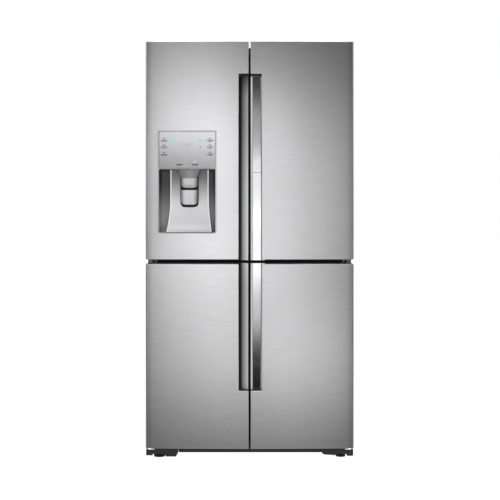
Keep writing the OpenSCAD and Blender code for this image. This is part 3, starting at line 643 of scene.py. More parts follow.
def trim_bar(name, node, split_low, split_high):
    """A bright plate in a right-hand pocket. Its outer edge bows, and a free end curls back."""
    lo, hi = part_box(node)
    width, rise = hi.x - lo.x, 0.005
    middle = (POCKET_Z0 + POCKET_Z1) / 2
    reach = (POCKET_Z1 - POCKET_Z0) / 2
    curl = 0.010
    rows = [lerp(lo.z, hi.z, i / 24) for i in range(25)]
    free = [(end, way) for end, way, cut in ((lo.z, 1, split_low), (hi.z, -1, split_high))
            if not cut]
    for end, way in free:
        rows += [end + way * curl * t for t in (0.08, 0.2, 0.35, 0.55, 0.8)]
    rings = []
    for z in sorted(rows):
        edge = width - 0.0035 * ((z - middle) / reach) ** 2
        u = max([0] + [1 - way * (z - end) / curl for end, way in free])
        back = 0.007 * (1 - math.sqrt(max(0, 1 - u * u)))
        rings.append([(lo.x + s, FRONT + 0.009 + back + t + rise / width * s, z)
                      for s, t in round_rect((0, 0), (edge, 0.002), 0.0009, 3)])
    return Shape().loft(rings).stand_in(name, node, CHROME)


def door_skins_and_pockets():
    hole = grown((-HOUSE_HI.x, HOUSE_LO.z), (-HOUSE_LO.x, HOUSE_HI.z), 0.0005)
    for side, hand in ((-1, "left"), (1, "right")):
        upper, lower = f"upper_{hand}_door", f"lower_{hand}_door"
        back = SKIN_HI.y if side > 0 else DOOR_BACK
        door_skin(upper + "_skin", side, back, POCKET_Z1, True, hole if side < 0 else None)
        door_skin(lower + "_skin", side, DOOR_BACK, POCKET_Z0, False)
        pocket(upper, side, SKIN_LO.z - OVERRUN, POCKET_Z1 - 0.0002)
        pocket(lower, side, LOW_HI.z + OVERRUN, POCKET_Z0 + 0.0002)
        end_shade_block(upper, side, POCKET_Z1, 0.011)
        end_shade_block(lower, side, POCKET_Z0, -0.004)
        end_caps(upper, side, back)
        end_caps(lower, side, DOOR_BACK)


# ---------- dispenser ----------

def bowed_rect(lo, hi, radii, sunk=0.0):
    """Points of a rounded rectangle on the door's bowed face, or sunk behind it."""
    return [(x, front_y(x) + sunk, z) for x, z in round_rect(lo, hi, radii, 5, 7)]


def bezel(name, lo, hi, inner_lo, inner_hi, radii, inner_r):
    """A moulded ring in the door's hole round one of its two openings."""
    soft = 0.0008
    Shape().ring([
        bowed_rect(lo, hi, radii, 0.012), bowed_rect(lo, hi, radii, -0.0001),
        bowed_rect(*grown(lo, hi, -soft), [max(r - soft, 0.0004) for r in radii], -0.0006),
        bowed_rect(*grown(inner_lo, inner_hi, soft), inner_r + soft, -0.0006),
        bowed_rect(inner_lo, inner_hi, inner_r, 0.0004),
        bowed_rect(inner_lo, inner_hi, inner_r, 0.012)]).weld().piece(
            name, DOOR, "dispenser_dark", BEZEL)


def dispenser_housing():
    """The bezels, and the cavity behind the lower one with filleted walls."""
    lo, hi = (HOUSE_LO.x, HOUSE_LO.z), (HOUSE_HI.x, HOUSE_HI.z)
    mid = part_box("dispenser_panel")[0].z - 0.0042
    tight, wide = [0.0004] * 2, [0.0085] * 2    # radii at the joint and at the hole's corners
    cav_lo, cav_hi = (lo[0] + RIM, lo[1] + 0.004), (hi[0] - RIM, mid)
    bezel("cavity_bezel", lo, (hi[0], mid + 0.002), cav_lo, cav_hi, tight + wide, 0.004)
    bezel("panel_bezel", (lo[0], mid + 0.002), hi, (lo[0] + RIM, mid + 0.004),
          (hi[0] - RIM, hi[1] - 0.004), wide + tight, 0.003)
    back, deepest = HOUSE_HI.y - 0.004, 0.0655
    rings = []
    for depth, shrink, r in ((0.010, 0.0, 0.004), (0.030, 0.0006, 0.005), (0.052, 0.0012, 0.006),
                             (0.060, 0.003, 0.008), (0.064, 0.008, 0.010), (deepest, 0.016, 0.012)):
        flat = min(1, depth / 0.05)
        rings.append([(x, lerp(y + depth, back - deepest + depth, flat), z)
                      for x, y, z in bowed_rect(*grown(cav_lo, cav_hi, -shrink), r)])
    Shape().loft(rings, caps=False).face(rings[-1]).weld().facing((0, -1, 0)).stand_in(
        "dispenser_cavity", "dispenser_housing", CAVITY, thick=0.002)
    ribs = Shape()
    for x in (cav_lo[0] + 0.004, cav_hi[0] - 0.008):
        ribs.box((x, FRONT + 0.012, cav_lo[1] + 0.012),
                 (x + 0.004, back - 0.012, cav_lo[1] + 0.014))
    ribs.rounded(0.0006).piece("cavity_drip_ribs", DOOR, "dispenser_dark", DARK)


def dispenser_panel():
    """The control panel: a bowed plate with a soft edge, and small generic marks on it."""
    lo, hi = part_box("dispenser_panel")
    rings = [bowed_rect(*grown((lo.x, lo.z), (hi.x, hi.z), -shrink), r, sunk)
             for shrink, sunk, r in ((0, 0.015, 0.003), (0, -0.0004, 0.0032),
                                     (0.0008, -0.001, 0.004), (0.0025, -0.001, 0.0045))]
    shape = Shape().loft(rings, caps=False).face(rings[0][::-1])
    half = len(rings[-1]) // 2
    upper, lower = rings[-1][:half], rings[-1][half:][::-1]
    for points in zip(upper, upper[1:], lower[1:], lower):
        shape.face(points)
    shape.weld().outward().stand_in("panel_plate", "dispenser_panel", PANEL)
    marks, cyan, pink = Shape(), Shape(), Shape()

    def mark(shape, x, z, w, h, r=0.0006):
        """A mark on the plate, at x from its middle."""
        x += (lo.x + hi.x) / 2
        line = round_rect((x - w / 2, z - h / 2), (x + w / 2, z + h / 2), min(r, w / 2, h / 2), 3)
        shape.loft([[(u, front_y(u) - proud, v) for u, v in line] for proud in (0.0004, 0.00112)])

    for side in (-1, 1):
        for drop in (0.038, 0.067, 0.099):
            x, z = side * 0.1, hi.z - drop
            mark(marks, x, z, 0.030, 0.0024)
            mark(marks, x, z - 0.0045, 0.022, 0.0024)
            mark(marks, x, z + 0.008, 0.010, 0.004, 0.002)
        mark(cyan, side * 0.060, hi.z - 0.038, 0.024, 0.008, 0.003)
        mark(marks, side * 0.034, lo.z + 0.015, 0.027, 0.005, 0.002)
    mark(marks, 0, hi.z - 0.055, 0.066, 0.0008)
    mark(marks, 0, hi.z - 0.059, 0.012, 0.0014)
    mark(pink, 0.058, hi.z - 0.067, 0.007, 0.009, 0.003)
    mark(cyan, 0.034, lo.z + 0.029, 0.012, 0.006, 0.003)
    for name, shape, material in (("panel_marks", marks, MARK), ("panel_lamps_cyan", cyan, CYAN),
                                  ("panel_lamp_pink", pink, PINK)):
        shape.outward().piece(name, DOOR, "dispenser_silver", material)


def tongue_line():
    """Places down the tongue: y, z and half its width."""
    steps = 22
    foot, bend, back = HOUSE_LO.z + 0.0055, 1.1, HOUSE_HI.y - 0.014
    turns = [math.radians(90 * i / steps) for i in range(steps + 1)]
    line = [(0.0, TONGUE_HI.z - 0.0005), (0.0, 1.18)]
    line += [(1 - math.cos(a), lerp(bend, foot + 0.004, math.sin(a))) for a in turns]
    rows = []
    for t, z in line:
        flare = max(0, (1.135 - z) / (1.135 - foot))
        rows.append((lerp(back, FRONT + 0.012, t), z, 0.0815 + 0.0145 * flare ** 1.6))
    return rows


def dispenser_tongue():
    """The sheet behind the levers that sweeps forward at its foot, with side rims painted near
    white as a highlight.
    """
    rows = tongue_line()
    rings = []
    for i, (y, z, half) in enumerate(rows):
        before, after = rows[max(i - 1, 0)], rows[min(i + 1, len(rows) - 1)]
        along = Vector((after[0] - before[0], after[1] - before[1])).normalized()
        out = Vector((along.y, -along.x))
        if out.x > 0:
            out = -out
        section = round_rect((-half, -0.0035), (half, 0), 0.0016, 3)
        dish = [(u, v - 0.0009 * (1 - (u / half) ** 2) * (v > -0.0018)) for u, v in section]
        rings.append([(TONGUE_X + u, y + out.x * v, z + out.y * v) for u, v in dish])
    Shape().loft(rings).weld().outward().stand_in("tongue_sheet", "dispenser_tongue", TONGUE)
    rims = Shape()
    for side in (-1, 1):
        rims.tube([(TONGUE_X + side * (half + 0.0002), y - 0.0012, z + 0.0004)
                   for y, z, half in rows[:-1]], 0.0031, 12)
    rims.piece("tongue_rims", DOOR, "dispenser_silver", RIM_HIGHLIGHT)
    back = HOUSE_HI.y - 0.0145
    # a black plate behind the pads: the recess they sit in, reaching further below and to the sides
    # as painted shadow under the pads
    Shape().prism(paddle(0.040, 1.132, 0.036, TONGUE_HI.z - 0.03, 0.5), "y", back - 0.0016,
                  back).rounded(0.0006).piece("lever_shadow_recess", DOOR, "dispenser_dark", BLACK)


def ice_chute():
    """A round tapered spout with thin walls under the panel, and the stub pins of the levers."""
    top = TONGUE_HI.z
    Shape().ring([[(x, y, z) for x, y in circle(TONGUE_X, FRONT + 0.031, (half, deep), 40)]
                  for z, half, deep in ((top, 0.052, 0.0155), (1.229, 0.037, 0.0155),
                                        (1.2245, 0.0355, 0.0145), (1.224, 0.034, 0.0135),
                                        (1.228, 0.0335, 0.0125), (top, 0.048, 0.0125))]
                 ).weld().outward().piece("ice_chute", DOOR, "dispenser_silver", SATIN)
    pins = Shape()
    for node in ("water_lever", "ice_lever"):
        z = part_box(node)[1].z - 0.003
        for side in (-1, 1):
            end = TONGUE_X + side * 0.017
            pins.pin(0.002, TONGUE_X + side * 0.0125, end, (0, LEVER_Y, z), "x")
            pins.box((TONGUE_X + side * 0.0142, LEVER_Y - 0.004, z - 0.004),
                     (end, LEVER_Y + 0.0085, z + 0.004))
    pins.rounded(0.0004, 1).piece("lever_pins", DOOR, "dispenser_dark", BLACK)


def paddle(half, foot_mid, drop, top, power):
    """Outline of a lever's pad: straight sides and a foot between round and square."""
    foot = []
    for i in range(25):
        a = math.radians(180 + 7.5 * i)
        c, d = math.cos(a), math.sin(a)
        foot.append((TONGUE_X + half * math.copysign(abs(c) ** power, c),
                     foot_mid - drop * abs(d) ** power))
    return foot + [(TONGUE_X + half, top), (TONGUE_X - half, top)]


def lever(node, half, drop, power):
    """A dished paddle with a rounded foot on a hinged arm."""
    lo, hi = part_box(node)
    pin_z = hi.z - 0.003
    rings = []
    for shrink, y in ((0.0012, 0.004), (0.0, 0.0034), (0.0, 0.001), (0.001, 0.0), (0.003, 0.0001),
                      (0.008, 0.0011), (0.015, 0.0019), (0.022, 0.0023)):
        line = paddle(half - shrink, lo.z + drop, max(0.001, drop - shrink),
                      pin_z - 0.004 - shrink, power)
        rings.append([(x, lo.y + y, z) for x, z in line])
    Shape().loft(rings).outward().stand_in(node + "_pad", node, PAD)
    arm = Shape()
    for reach, y0, y1, z0, z1 in ((0.012, lo.y + 0.0036, LEVER_Y + 0.002, -0.009, -0.0042),
                                  (0.0118, LEVER_Y - 0.0035, LEVER_Y + 0.0035, -0.005, 0.0028)):
        arm.box((TONGUE_X - reach, y0, pin_z + z0), (TONGUE_X + reach, y1, pin_z + z1))
    arm.rounded(0.0007).piece(node + "_arm", node, "dispenser_silver", DARK)


# ---------- cabinet ----------

def case_shell():
    """The painted wrapper with rounded shoulders, its back sheet and its front flange, which is
    near black as painted shade for the door gaps.
    """
    lo, hi = CASE_LO, CASE_HI
    r = 0.006
    path = [(hi.x, lo.z)] + arc(hi.x - r, hi.z - r, r, 0, 90, 6) + \
        arc(lo.x + r, hi.z - r, r, 90, 180, 6) + [(lo.x, lo.z)]
    Shape().loft([[(x, y, z) for x, z in path] for y in (lo.y, lo.y + 0.002, hi.y - 0.004,
                                                         hi.y - 0.001)],
                 caps=False, closed=False).facing((0, 0, 1)).stand_in(
                     "case_wrapper", "outer_case", PAINT, thick=0.001)
    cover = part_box("compressor_cover")[1].z
    back = Shape().box((lo.x + 0.0015, hi.y - 0.0012, cover + 0.002),
                       (hi.x - 0.0015, hi.y - 0.0002, hi.z - 0.0015))
    for x in (-0.27, -0.09, 0.09, 0.27):
        rib = (x - 0.03, cover + 0.09), (x + 0.03, hi.z - 0.09)
        back.loft([[(u, hi.y - 0.0003, v) for u, v in round_rect(*rib, 0.02)],
                   [(u, hi.y + 0.0006, v) for u, v in round_rect(*grown(*rib, -0.005), 0.015)]])
    back.rounded(0.0003, 1)
    for x in (lo.x + 0.012, hi.x - 0.012):
        for i in range(6):
            z = lerp(cover + 0.03, hi.z - 0.03, i / 5)
            back.lathe([(0.0045, hi.y - 0.0003), (0.0045, hi.y + 0.0004), (0.003, hi.y + 0.0009)],
                       (x, 0, z), "y", 12)
    back.piece("case_back", "cabinet", "case_paint", PAINT)
    # the flange takes a near-black colour as painted shade in the door gaps
    flange = Shape()
    band = 0.012            # width of the band round each compartment
    y, edge, foot = lo.y + 0.0002, ROOM_HI.x - WALL, ROOM_LO.z + WALL
    for a, b in (((-edge, UPPER_Z), (edge, ROOM_HI.z - WALL)),
                 ((-edge, foot), (-PARTITION, LOWER_Z)), ((PARTITION, foot), (edge, LOWER_Z))):
        flange.frame(corners(*grown(a, b, band)), corners(a, b), "y", y, y + 0.001)
    side, top, under = edge + band, hi.z - 0.001, ROOM_LO.z - 0.010
    for x0, z0, x1, z1 in ((lo.x + 0.001, lo.z, -side, top), (side, lo.z, hi.x - 0.001, top),
                           (-side, ROOM_HI.z + 0.010, side, top),
                           (-side, LOWER_Z + band, side, UPPER_Z - band),
                           (-side, lo.z, side, under), (-0.018, under, 0.018, LOWER_Z + band)):
        flange.box((x0, y, z0), (x1, y + 0.0009, z1))
    flange.piece("case_front_flange", "cabinet", "case_paint", FLANGE_SHADE)


def liners():
    """The white compartments with filleted corners, shelf ledges and lamp covers."""
    front, x, deep, top = ROOM_LO.y, ROOM_HI.x - WALL, ROOM_HI.y - WALL, ROOM_HI.z - WALL
    foot = ROOM_LO.z + WALL
    step_y, step_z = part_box("freezer_drawer_lower")[1].y + 0.015, 0.4   # over the machinery
    stepped = [(front, foot), (step_y, foot), (step_y, step_z), (deep, step_z), (deep, LOWER_Z),
               (front, LOWER_Z)]
    upper = [(front, UPPER_Z), (deep, UPPER_Z), (deep, top), (front, top)]
    rooms = Shape()
    for a, b, profile in ((-x, x, upper), (-x, -PARTITION, stepped), (PARTITION, x, stepped)):
        room = Shape().loft([[(u, y, z) for y, z in profile] for u in (a, b)],
                            caps=False, closed=False)
        for u in (a, b):
            room.face([(u, y, z) for y, z in profile])
        room.rounded(0.012, 4)
        middle = Vector(((a + b) / 2, (front + deep) / 2, (profile[0][1] + profile[-1][1]) / 2))
        if sum((middle - f.calc_center_median()).dot(f.normal) for f in room.bm.faces) < 0:
            bmesh.ops.reverse_faces(room.bm, faces=room.bm.faces[:])
        rooms.absorb(room)
    rooms.stand_in("liner_rooms", "inner_liners", LINER, thick=WALL)
    ledges, lamps = Shape(), Shape()
    shelf_lo, shelf_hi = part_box("glass_shelves")
    for side in (-1, 1):
        wall = side * (x - 0.0005)
        for z in SHELF_Z:
            if z < SHELF_Z[-1] or side > 0:     # the top one is on the right alone
                ledges.box((wall, shelf_lo.y - 0.01, z - 0.010),
                           (side * (shelf_hi.x - 0.012), shelf_hi.y, z - 0.0015))
        ledges.box((wall, -0.16, 0.981), (side * (x - 0.006), 0.26, 0.985))
        lamps.box((side * 0.05, -0.14, ROOM_HI.z - 0.007), (side * 0.2, -0.06, top - 0.0002))
    ledges.rounded(0.0012).piece("shelf_ledges", "cabinet", "liner_white", LINER)
    lamps.rounded(0.0025, 3).piece("lamp_covers", "cabinet", "clear_plastic", CLEAR)


def shelves():
    """Glass plates in white frames with a raised front bar."""
    lo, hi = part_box("glass_shelves")
    low, middle, high = SHELF_Z
    glass, rails = Shape(), Shape()
    for a, b, z in ((lo.x, hi.x, low), (lo.x, -0.003, middle), (0.003, hi.x, middle),
                    (0.003, hi.x, high)):
        glass.box((a + 0.004, lo.y + 0.006, z + 0.0005), (b - 0.004, hi.y - 0.003, z + 0.0045))
        for y0, y1, top in ((lo.y, lo.y + 0.012, 0.007), (hi.y - 0.010, hi.y, 0.006)):
            rails.box((a, y0, z - 0.001), (b, y1, z + top))
        for x0, x1 in ((a, a + 0.007), (b - 0.007, b)):
            rails.box((x0, lo.y + 0.0125, z - 0.001), (x1, hi.y - 0.0105, z + 0.006))
    glass.rounded(0.0006).stand_in("shelf_plates", "glass_shelves", GLASS)
    rails.rounded(0.0012).piece("shelf_frames", "cabinet", "liner_white", TRIM_WHITE)


def tray_shape(lo, hi, r, taper, lip=0.0):
    """An open tray with rounded corners: out and up, over the rim, down and in."""
    wall = 0.0028
    rows = ((lo.z, taper + 0.003), (lo.z + 0.0008, taper + 0.001), (lo.z + 0.004, taper),
            (hi.z - 0.006, 0.0), (hi.z - 0.0055, -lip), (hi.z - 0.0005, -lip),
            (hi.z, -lip + 0.0006), (hi.z, wall - 0.0006), (hi.z - 0.0006, wall),
            (lo.z + wall + 0.003, taper + wall), (lo.z + wall, taper + wall + 0.003))
    return Shape().loft([[(x, y, z) for x, y in round_rect(*grown(lo, hi, -shrink),
                                                           max(r - shrink, 0.001))]
                         for z, shrink in rows])


def drawer(node):
    """A clear drawer with a moulded front and a grip over it."""
    lo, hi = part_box(node)
    tray_shape(lo + Vector((0.0012, 0.0072, 0)), hi - Vector((0.0012, 0, 0.004)), 0.014, 0.006,
               0.001).outward().stand_in(node + "_tray", node, CLEAR)
    grip = [(0, -0.016), (0, -0.003), (0.003, 0), (0.0075, 0), (0.0075, -0.005),
            (0.0045, -0.005), (0.0045, -0.016)]
    Shape().box((lo.x, lo.y + 0.002, lo.z), (hi.x, lo.y + 0.0068, hi.z - 0.014)).prism(
        [(lo.y + y, hi.z + z) for y, z in grip], "x", lo.x, hi.x).rounded(0.0011).piece(
            node + "_front", node, "clear_plastic", FROST)


def bins(node, boxes):
    """Clear door bins with a frosted bar along the front of each."""
    trays, bars = Shape(), Shape()
    for lo, hi in boxes:
        trays.absorb(tray_shape(Vector(lo), Vector(hi), 0.016, 0.004))
        bars.box((lo[0] + 0.016, hi[1] - 0.0045, hi[2] - 0.022),
                 (hi[0] - 0.016, hi[1] - 0.0002, hi[2] - 0.004))
    trays.outward().stand_in(node + "_trays", node, CLEAR)
    bars.rounded(0.0012).piece(node + "_bars", body_of(node), "clear_plastic", FROST)


def gasket(lo, hi, y0, y1):
    """A folded magnetic gasket round a door's inside, with a bellows in its section."""
    w = 0.016
    rings = []
    for u, t in ((0.002, 0.0), (0.001, 0.25), (0.003, 0.4), (0.0005, 0.55), (0.0, 0.75),
                 (0.0015, 0.98), (0.5 * w, 1.0), (w - 0.0015, 0.98), (w, 0.75),
                 (w - 0.0005, 0.55), (w - 0.003, 0.4), (w - 0.001, 0.25), (w - 0.002, 0.0)):
        line = round_rect(*grown(lo, hi, -u), 0.018 - u * 0.9, 4)
        rings.append([(x, lerp(y0, y1, t), z) for x, z in line])
    return Shape().ring(rings).weld().outward()


def gaskets():
    for door in ("upper_left_door", "upper_right_door", "lower_left_door", "lower_right_door"):
        node = door + "_gasket"
        lo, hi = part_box(node)
        gasket((lo.x, lo.z), (hi.x, hi.z), lo.y, hi.y).stand_in(node + "_fold", node, RUBBER,
                                                                sharp=50)


def showcase():
    """The inner door frame, its gasket and its bins."""
    lo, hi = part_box("showcase_frame")
    body = body_of("showcase_frame")
    Shape().frame(round_rect((lo.x, lo.z), (hi.x, hi.z), 0.004),
                  round_rect((0.060, lo.z + 0.046), (0.388, hi.z - 0.046), 0.012),
                  "y", lo.y, DOOR_BACK).rounded(0.002, 3).stand_in(
                      "showcase_surround", "showcase_frame", LINER)
    left_lo, left_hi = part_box("upper_left_door_gasket")
    gasket((-left_hi.x, left_lo.z), (-left_lo.x, left_hi.z), DOOR_BACK, left_hi.y).piece(
        "showcase_gasket", body, "gasket_rubber", RUBBER, sharp=50)
    low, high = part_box("showcase_bins")
    floors = ((0.93, -0.252), (1.2, -0.225), (1.47, -0.225))
    bins("showcase_bins", [((low.x, low.y, z), (high.x, y, z + 0.11)) for z, y in floors])
    catches = Shape()
    for z, y in floors:
        for x0, x1 in ((0.0605, 0.0626), (0.3854, 0.3875)):
            catches.box((x0, lo.y + 0.006, z + 0.02), (x1, DOOR_BACK - 0.004, z + 0.06))
    catches.rounded(0.0006, 1).piece("bin_catches", body, "liner_white", TRIM_WHITE)


def fan_wheel(node, axis, material):
    """Pitched, curved blades round a domed hub."""
    lo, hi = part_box(node)
    c = (lo + hi) / 2
    k = "xyz".index(axis)
    depth = (hi[k] - lo[k]) / 2
    r = (hi.z - lo.z) / 2 * 0.97
    hub = r * 0.26
    shape = Shape().lathe([(hub, -depth), (hub, depth * 0.6), (hub * 0.8, depth * 0.9),
                           (hub * 0.4, depth)], c, axis, 24)
    for b in range(5):
        rings = []
        for i in range(7):
            t = i / 6
            radius = lerp(hub * 0.9, r, t)
            line = []
            for s, thick in ((-1, 0), (-0.3, 0.0009), (0.4, 0.0009), (1, 0), (0.4, -0.0009),
                             (-0.3, -0.0009)):
                angle = math.radians(72 * b + 14 * t) + s * lerp(0.26, 0.40, t)
                line.append(c + Vector(place(axis, s * depth * 0.7 * (1 - 0.3 * t) + thick,
                                             radius * math.cos(angle), radius * math.sin(angle))))
            rings.append(line)
        shape.loft(rings)
    shape.outward().stand_in(node + "_wheel", node, material)


def machinery():
    """The compressor with its pipe, and the two fan wheels."""
    c = Vector((0.25, 0.305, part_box("compressor")[0].z))
    can = Shape().lathe([(0.05, 0.0125), (0.066, 0.016), (0.078, 0.026), (0.0818, 0.05),
                         (0.0818, 0.086), (0.0835, 0.088), (0.0835, 0.094), (0.081, 0.096),
                         (0.080, 0.125), (0.074, 0.148), (0.058, 0.164), (0.036, 0.1735)],
                        c, "z", 40)
    for i in range(4):
        a = math.radians(45 + 90 * i)
        foot = c + Vector((0.098 * math.cos(a), 0.098 * math.sin(a), 0))
        arm = c + Vector((0.078 * math.cos(a), 0.078 * math.sin(a), 0.0125))
        can.lathe([(0.009, 0.0003), (0.011, 0.003), (0.009, 0.006), (0.0105, 0.009),
                   (0.010, 0.0105)], foot, "z", 16)
        can.tube([arm + Vector((-0.02 * math.cos(a), -0.02 * math.sin(a), 0.001)),
                  foot + Vector((0, 0, 0.0125))], 0.0022, 8)
    can.outward().stand_in("compressor_can", "compressor", BLACK)
    Shape().tube([c + Vector(p) for p in (
        (-0.081, 0, 0.07), (-0.1, 0, 0.07), (-0.115, 0, 0.085), (-0.115, 0, 0.13),
        (-0.13, 0, 0.15), (-0.16, 0, 0.155))], 0.003).piece(
            "suction_pipe", "cabinet", "coil_metal", COIL)
    fan_wheel("condenser_fan", "x", GREY)
    fan_wheel("evaporator_fan", "y", TRIM_WHITE)


def rollers():
    """The pair of ribbed rear wheels."""
    lo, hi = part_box("rear_rollers")
    y, z, r = (lo.y + hi.y) / 2, (lo.z + hi.z) / 2, (hi.z - lo.z) / 2
    wheels = Shape()
    for a, b in ((lo.x, lo.x + 0.022), (hi.x - 0.022, hi.x)):
        wheels.ring([[(x, y + u, z + v) for u, v in circle(0, 0, q, 32)] for q, x in (
            (0.0052, a), (r - 0.0035, a), (r - 0.001, a + 0.0006), (r, a + 0.0025),
            (r, a + 0.009), (r - 0.0015, a + 0.010), (r - 0.0015, a + 0.012), (r, a + 0.013),
            (r, b - 0.0025), (r - 0.001, b - 0.0006), (r - 0.0035, b), (0.0052, b))])
    wheels.outward().stand_in("rear_wheels", "rear_rollers", BLACK)


def feet():
    """Levelling legs: a broad foot, a hexagon to turn it by and a threaded stud."""
    for node in ("levelling_leg_left", "levelling_leg_right"):
        lo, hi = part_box(node)
        c = Vector(((lo.x + hi.x) / 2, (lo.y + hi.y) / 2, 0))
        r = (hi.x - lo.x) / 2
        thread = [(0.0042 if i % 2 else 0.005, lerp(0.0141, hi.z - 0.0005, i / 30))
                  for i in range(31)]
        Shape().lathe([(r - 0.003, 0.0), (r - 0.0008, 0.0006), (r, 0.0025), (r, 0.0075),
                       (r - 0.0012, 0.0088), (r - 0.004, 0.009)], c, "z", 40).pin(
            0.0128, 0.0088, 0.014, c, sides=6).lathe(thread, c, "z", 16).outward().stand_in(
                node + "_foot", node, BLACK)


def fan_grille():
    """Rings and spokes in the round openings of the lower compartments' covers."""
    shape = Shape()
    for side in (-1, 1):
        c = Vector((side * 0.217, 0.3175, 0.73))
        for r in (0.018, 0.030, 0.042, 0.0535):
            shape.tube([c + Vector((u, 0, v)) for u, v in arc(0, 0, r, 0, 360, 40)], 0.0009, 6)
        for u, v in circle(0, 0, 1, 6):
            shape.tube([c + Vector((u, 0, v)) * reach for reach in (0.016, 0.055)], 0.0010, 6)
    shape.piece("fan_grilles", "cabinet", "liner_white", TRIM_WHITE)


def flap_ears():
    """The ears and pins on the upper left door that the mullion flap turns on."""
    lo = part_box("mullion_flap")[0]
    x, y = lo.x + 0.008, lo.y + 0.002
    shape = Shape()
    for z in (0.96, 1.65):
        shape.box((x - 0.006, DOOR_BACK + 0.0005, z), (x + 0.0015, y, z + 0.024))
        shape.pin(0.006, z, z + 0.024, (x, y, 0), sides=20)
        shape.pin(0.003, z - 0.013, z + 0.037, (x, y, 0))
    shape.rounded(0.0006).piece("flap_ears", DOOR, "door_fitting", DARK)


def lever_posts():
    """Posts in the right-hand pocket for the release lever, its lugs, and the bars' stems."""
    x, y = 0.017, FRONT + 0.0146
    posts, lugs = Shape(), Shape()
    for z in (0.908, 1.14):
        posts.box((x - 0.0016, y - 0.0017, z), (x + 0.0016, floor_y(x, 1), z + 0.006))
        posts.pin(0.00125, z - 0.008, z + 0.014, (x, y, 0), sides=12)
        for dz in (-0.008, 0.0065):
            lugs.box((x - 0.0014, y - 0.0028, z + dz), (x + 0.0028, y + 0.0016, z + dz + 0.0074))
    posts.rounded(0.0003, 1).piece("lever_posts", "upper_right_door", "door_fitting", DARK)
    lugs.rounded(0.0004, 1).piece("release_lever_lugs", "release_lever", "trim_chrome", GREY)
    lever_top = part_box("release_lever")[1].z
    for z, door in ((lever_top + 0.014, "upper"), (POCKET_Z1 - 0.018, "upper"),
                    (POCKET_Z0 + 0.018, "lower"), (LOW_HI.z - 0.018, "lower")):
        Shape().box((0.026, FRONT + 0.0128, z - 0.002),
                    (0.030, floor_y(0.028, 1), z + 0.002)).rounded(0.0004, 1).piece(
            f"trim_stem_{round(z * 1000)}", door + "_right_door", "trim_chrome", GREY)


def plain_parts():
    """Nodes whose own shape is right: softened copies stand for most, and the rest get a look."""
    for node, material, width in (
            ("air_ducts", LINER, 0.0008), ("base_frame", BASE_PAINT, 0.0006),
            ("toe_grille", DARK, 0.0014), ("door_hinges", HINGE_STEEL, 0.0007),
            ("compressor_cover", GREY, 0.0007), ("ice_maker_housing", LINER, 0.0016),
            ("rear_inlets", BRASS, 0.0008), ("mullion_flap", BLACK, 0.0022),
            ("upper_left_door_liner", LINER, 0.004), ("upper_right_door_liner", LINER, 0.0008),
            ("lower_left_door_liner", LINER, 0.005), ("lower_right_door_liner", LINER, 0.005)):
        refined(node, material, width)
    refined("hinge_covers", DARK, 0.0010, nose=0.0034)
    for node, material in (("insulation_foam", FOAM), ("upper_left_door_foam", FOAM),
                           ("upper_right_door_foam", FOAM), ("lower_left_door_foam", FOAM),
                           ("lower_right_door_foam", FOAM), ("condenser", COIL),
                           ("evaporators", COIL)):
        mesh = frame["nodes"][node].data
        mesh.materials.clear()
        mesh.materials.append(material)


# ---------- camera, light and floor ----------

def camera():
    distance = 5.0          # from the eye to the door faces
    eye = Vector((0.0015, FRONT - distance, 1.1))
    width = 2.171           # width seen at the door faces
    middle = 0.911          # height in the middle of the picture
    data = bpy.data.cameras.new("camera")
    data.sensor_width = 36
    data.lens = data.sensor_width * distance / width
    data.shift_y = (middle - eye.z) / width
    cam = bpy.data.objects.new("camera", data)
    cam.location = eye
    cam.rotation_euler = (math.radians(90), 0, 0)
    scene.collection.objects.link(cam)
    scene.camera = cam


def soft_box(name, place, target, size, power):
    """A rectangular studio light that only shines, and isn't seen."""
    data = bpy.data.lights.new(name, "AREA")
    data.shape = "RECTANGLE"
    data.size, data.size_y = size
    data.energy = power
    lamp = bpy.data.objects.new(name, data)
    lamp.location = place
    lamp.rotation_mode = "QUATERNION"
    lamp.rotation_quaternion = (Vector(target) - Vector(place)).to_track_quat("-Z", "Y")
    lamp.visible_camera = False
    scene.collection.objects.link(lamp)
    return lamp


def aimed(lamp, objects, state):
    """Lets a light reach only some objects, or all but them."""
    group = bpy.data.collections.new(lamp.name)
    for obj in objects:
        group.objects.link(obj)
    for member in group.collection_objects:
        member.light_linking.link_state = state
    lamp.light_linking.receiver_collection = group


def studio(bars):
    """A wall of soft boxes before the doors, a column of their own for the bright bars, and light
    all round."""
    wall = ((-1.2, ((1.55, 0.14),)),
            (-0.6, ((0.15, 1.15), (0.5, 0.25), (0.85, 1.9), (1.55, 2.15), (1.9, 0.85))),
            (0.0, ((0.15, 1.45), (0.85, 1.65), (1.55, 1.95))),
            (0.6, ((0.15, 1.75), (0.85, 0.8), (1.2, 0.6), (1.55, 0.8))))
    for x, row in wall:
        for z, power in row:
            aimed(soft_box(f"wall_{x}_{z}", (x, -2.8, z), (x * 0.3, FRONT, 0.9), (0.7, 0.45),
                           power), bars, "EXCLUDE")
    for z, power in ((0.5, 0.96), (0.85, 1.58), (1.2, 1.37), (1.55, 0.6), (2.3, 0.1)):
        aimed(soft_box(f"column_{z}", (0.6, -2.8, z), (0.18, FRONT, 0.9), (0.7, 0.45), power),
              bars, "INCLUDE")
    soft_box("left", (-3.2, 0.0, 2.0), (0, 0, 0.9), (2.0, 2.0), 25)
    soft_box("right", (3.2, 0.0, 2.0), (0, 0, 0.9), (2.0, 2.0), 12)
    soft_box("rear", (0.4, 3.2, 1.8), (0, 0.4, 0.9), (2.4, 2.0), 10)
    soft_box("top", (0, -0.3, 4.2), (0, 0, 0), (3.0, 3.0), 90)


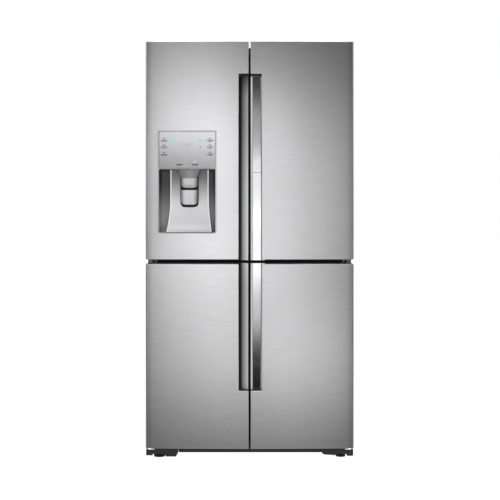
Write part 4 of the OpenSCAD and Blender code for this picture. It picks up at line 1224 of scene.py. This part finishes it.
def sky():
    """White for the eye; in what the object reflects, light behind it and dim in front."""
    world = bpy.data.worlds.new("studio")
    scene.world = world
    world.use_nodes = True
    tree = world.node_tree
    tree.nodes.clear()
    path, way, split, shade, back, out = (tree.nodes.new("ShaderNode" + kind) for kind in (
        "LightPath", "TexCoord", "SeparateXYZ", "Mix", "Background", "OutputWorld"))
    shade.data_type = "FLOAT"
    shade.inputs[3].default_value = 1.0
    back.inputs["Color"].default_value = (1, 1, 1, 1)
    tree.links.new(way.outputs["Generated"], split.inputs[0])
    dim = map_range(tree, split.outputs["Y"], (-0.94, -0.70), (0.0, 0.55))
    for output, socket in ((dim, shade.inputs[2]),
                           (path.outputs["Is Camera Ray"], shade.inputs[0]),
                           (shade.outputs[0], back.inputs["Strength"]),
                           (back.outputs[0], out.inputs[0])):
        tree.links.new(output, socket)
    scene.view_settings.view_transform = "Standard"


def ground():
    """A wide pale floor that stays light in the object's shadow."""
    size = 30.0
    mesh = bpy.data.meshes.new("floor")
    mesh.from_pydata([(x, y, 0) for x, y in corners((-size, -size), (size, size))],
                     [], [(0, 1, 2, 3)])
    mesh.materials.append(look("studio_floor", grey(0.30), 0.75, grain=40, tint=0.01, relief=0,
                               Emission_Color=(1, 1, 1, 1), Emission_Strength=1.0))
    floor = bpy.data.objects.new("floor", mesh)
    floor.visible_glossy = False
    scene.collection.objects.link(floor)


camera()
sky()
ground()
door_skins_and_pockets()
studio([trim_bar("upper_trim_bar", "upper_handle_trim", True, False),
        trim_bar("release_lever_bar", "release_lever", True, True),
        trim_bar("lower_trim_bar", "lower_handle_trim", False, True)])
lever_posts()
flap_ears()
dispenser_housing()
dispenser_panel()
dispenser_tongue()
ice_chute()
lever("water_lever", 0.036, 0.024, 0.5)
lever("ice_lever", 0.035, 0.014, 0.7)
case_shell()
liners()
shelves()
for drawer_node in ("ice_bucket", "crisper_left", "crisper_right", "pantry_drawer",
                    "freezer_drawer_upper", "freezer_drawer_lower", "flex_drawer_upper",
                    "flex_drawer_lower"):
    drawer(drawer_node)
BIN_LO, BIN_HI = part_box("upper_left_door_bins")
bins("upper_left_door_bins",
     [((x, BIN_LO.y, z), (BIN_HI.x, BIN_HI.y, z + height)) for x, z, height in (
         (BIN_LO.x, 1.145, 0.1), (BIN_LO.x, 1.33, 0.1), (-0.236, 1.53, 0.09))])
gaskets()
showcase()
machinery()
feet()
rollers()
fan_grille()
plain_parts()
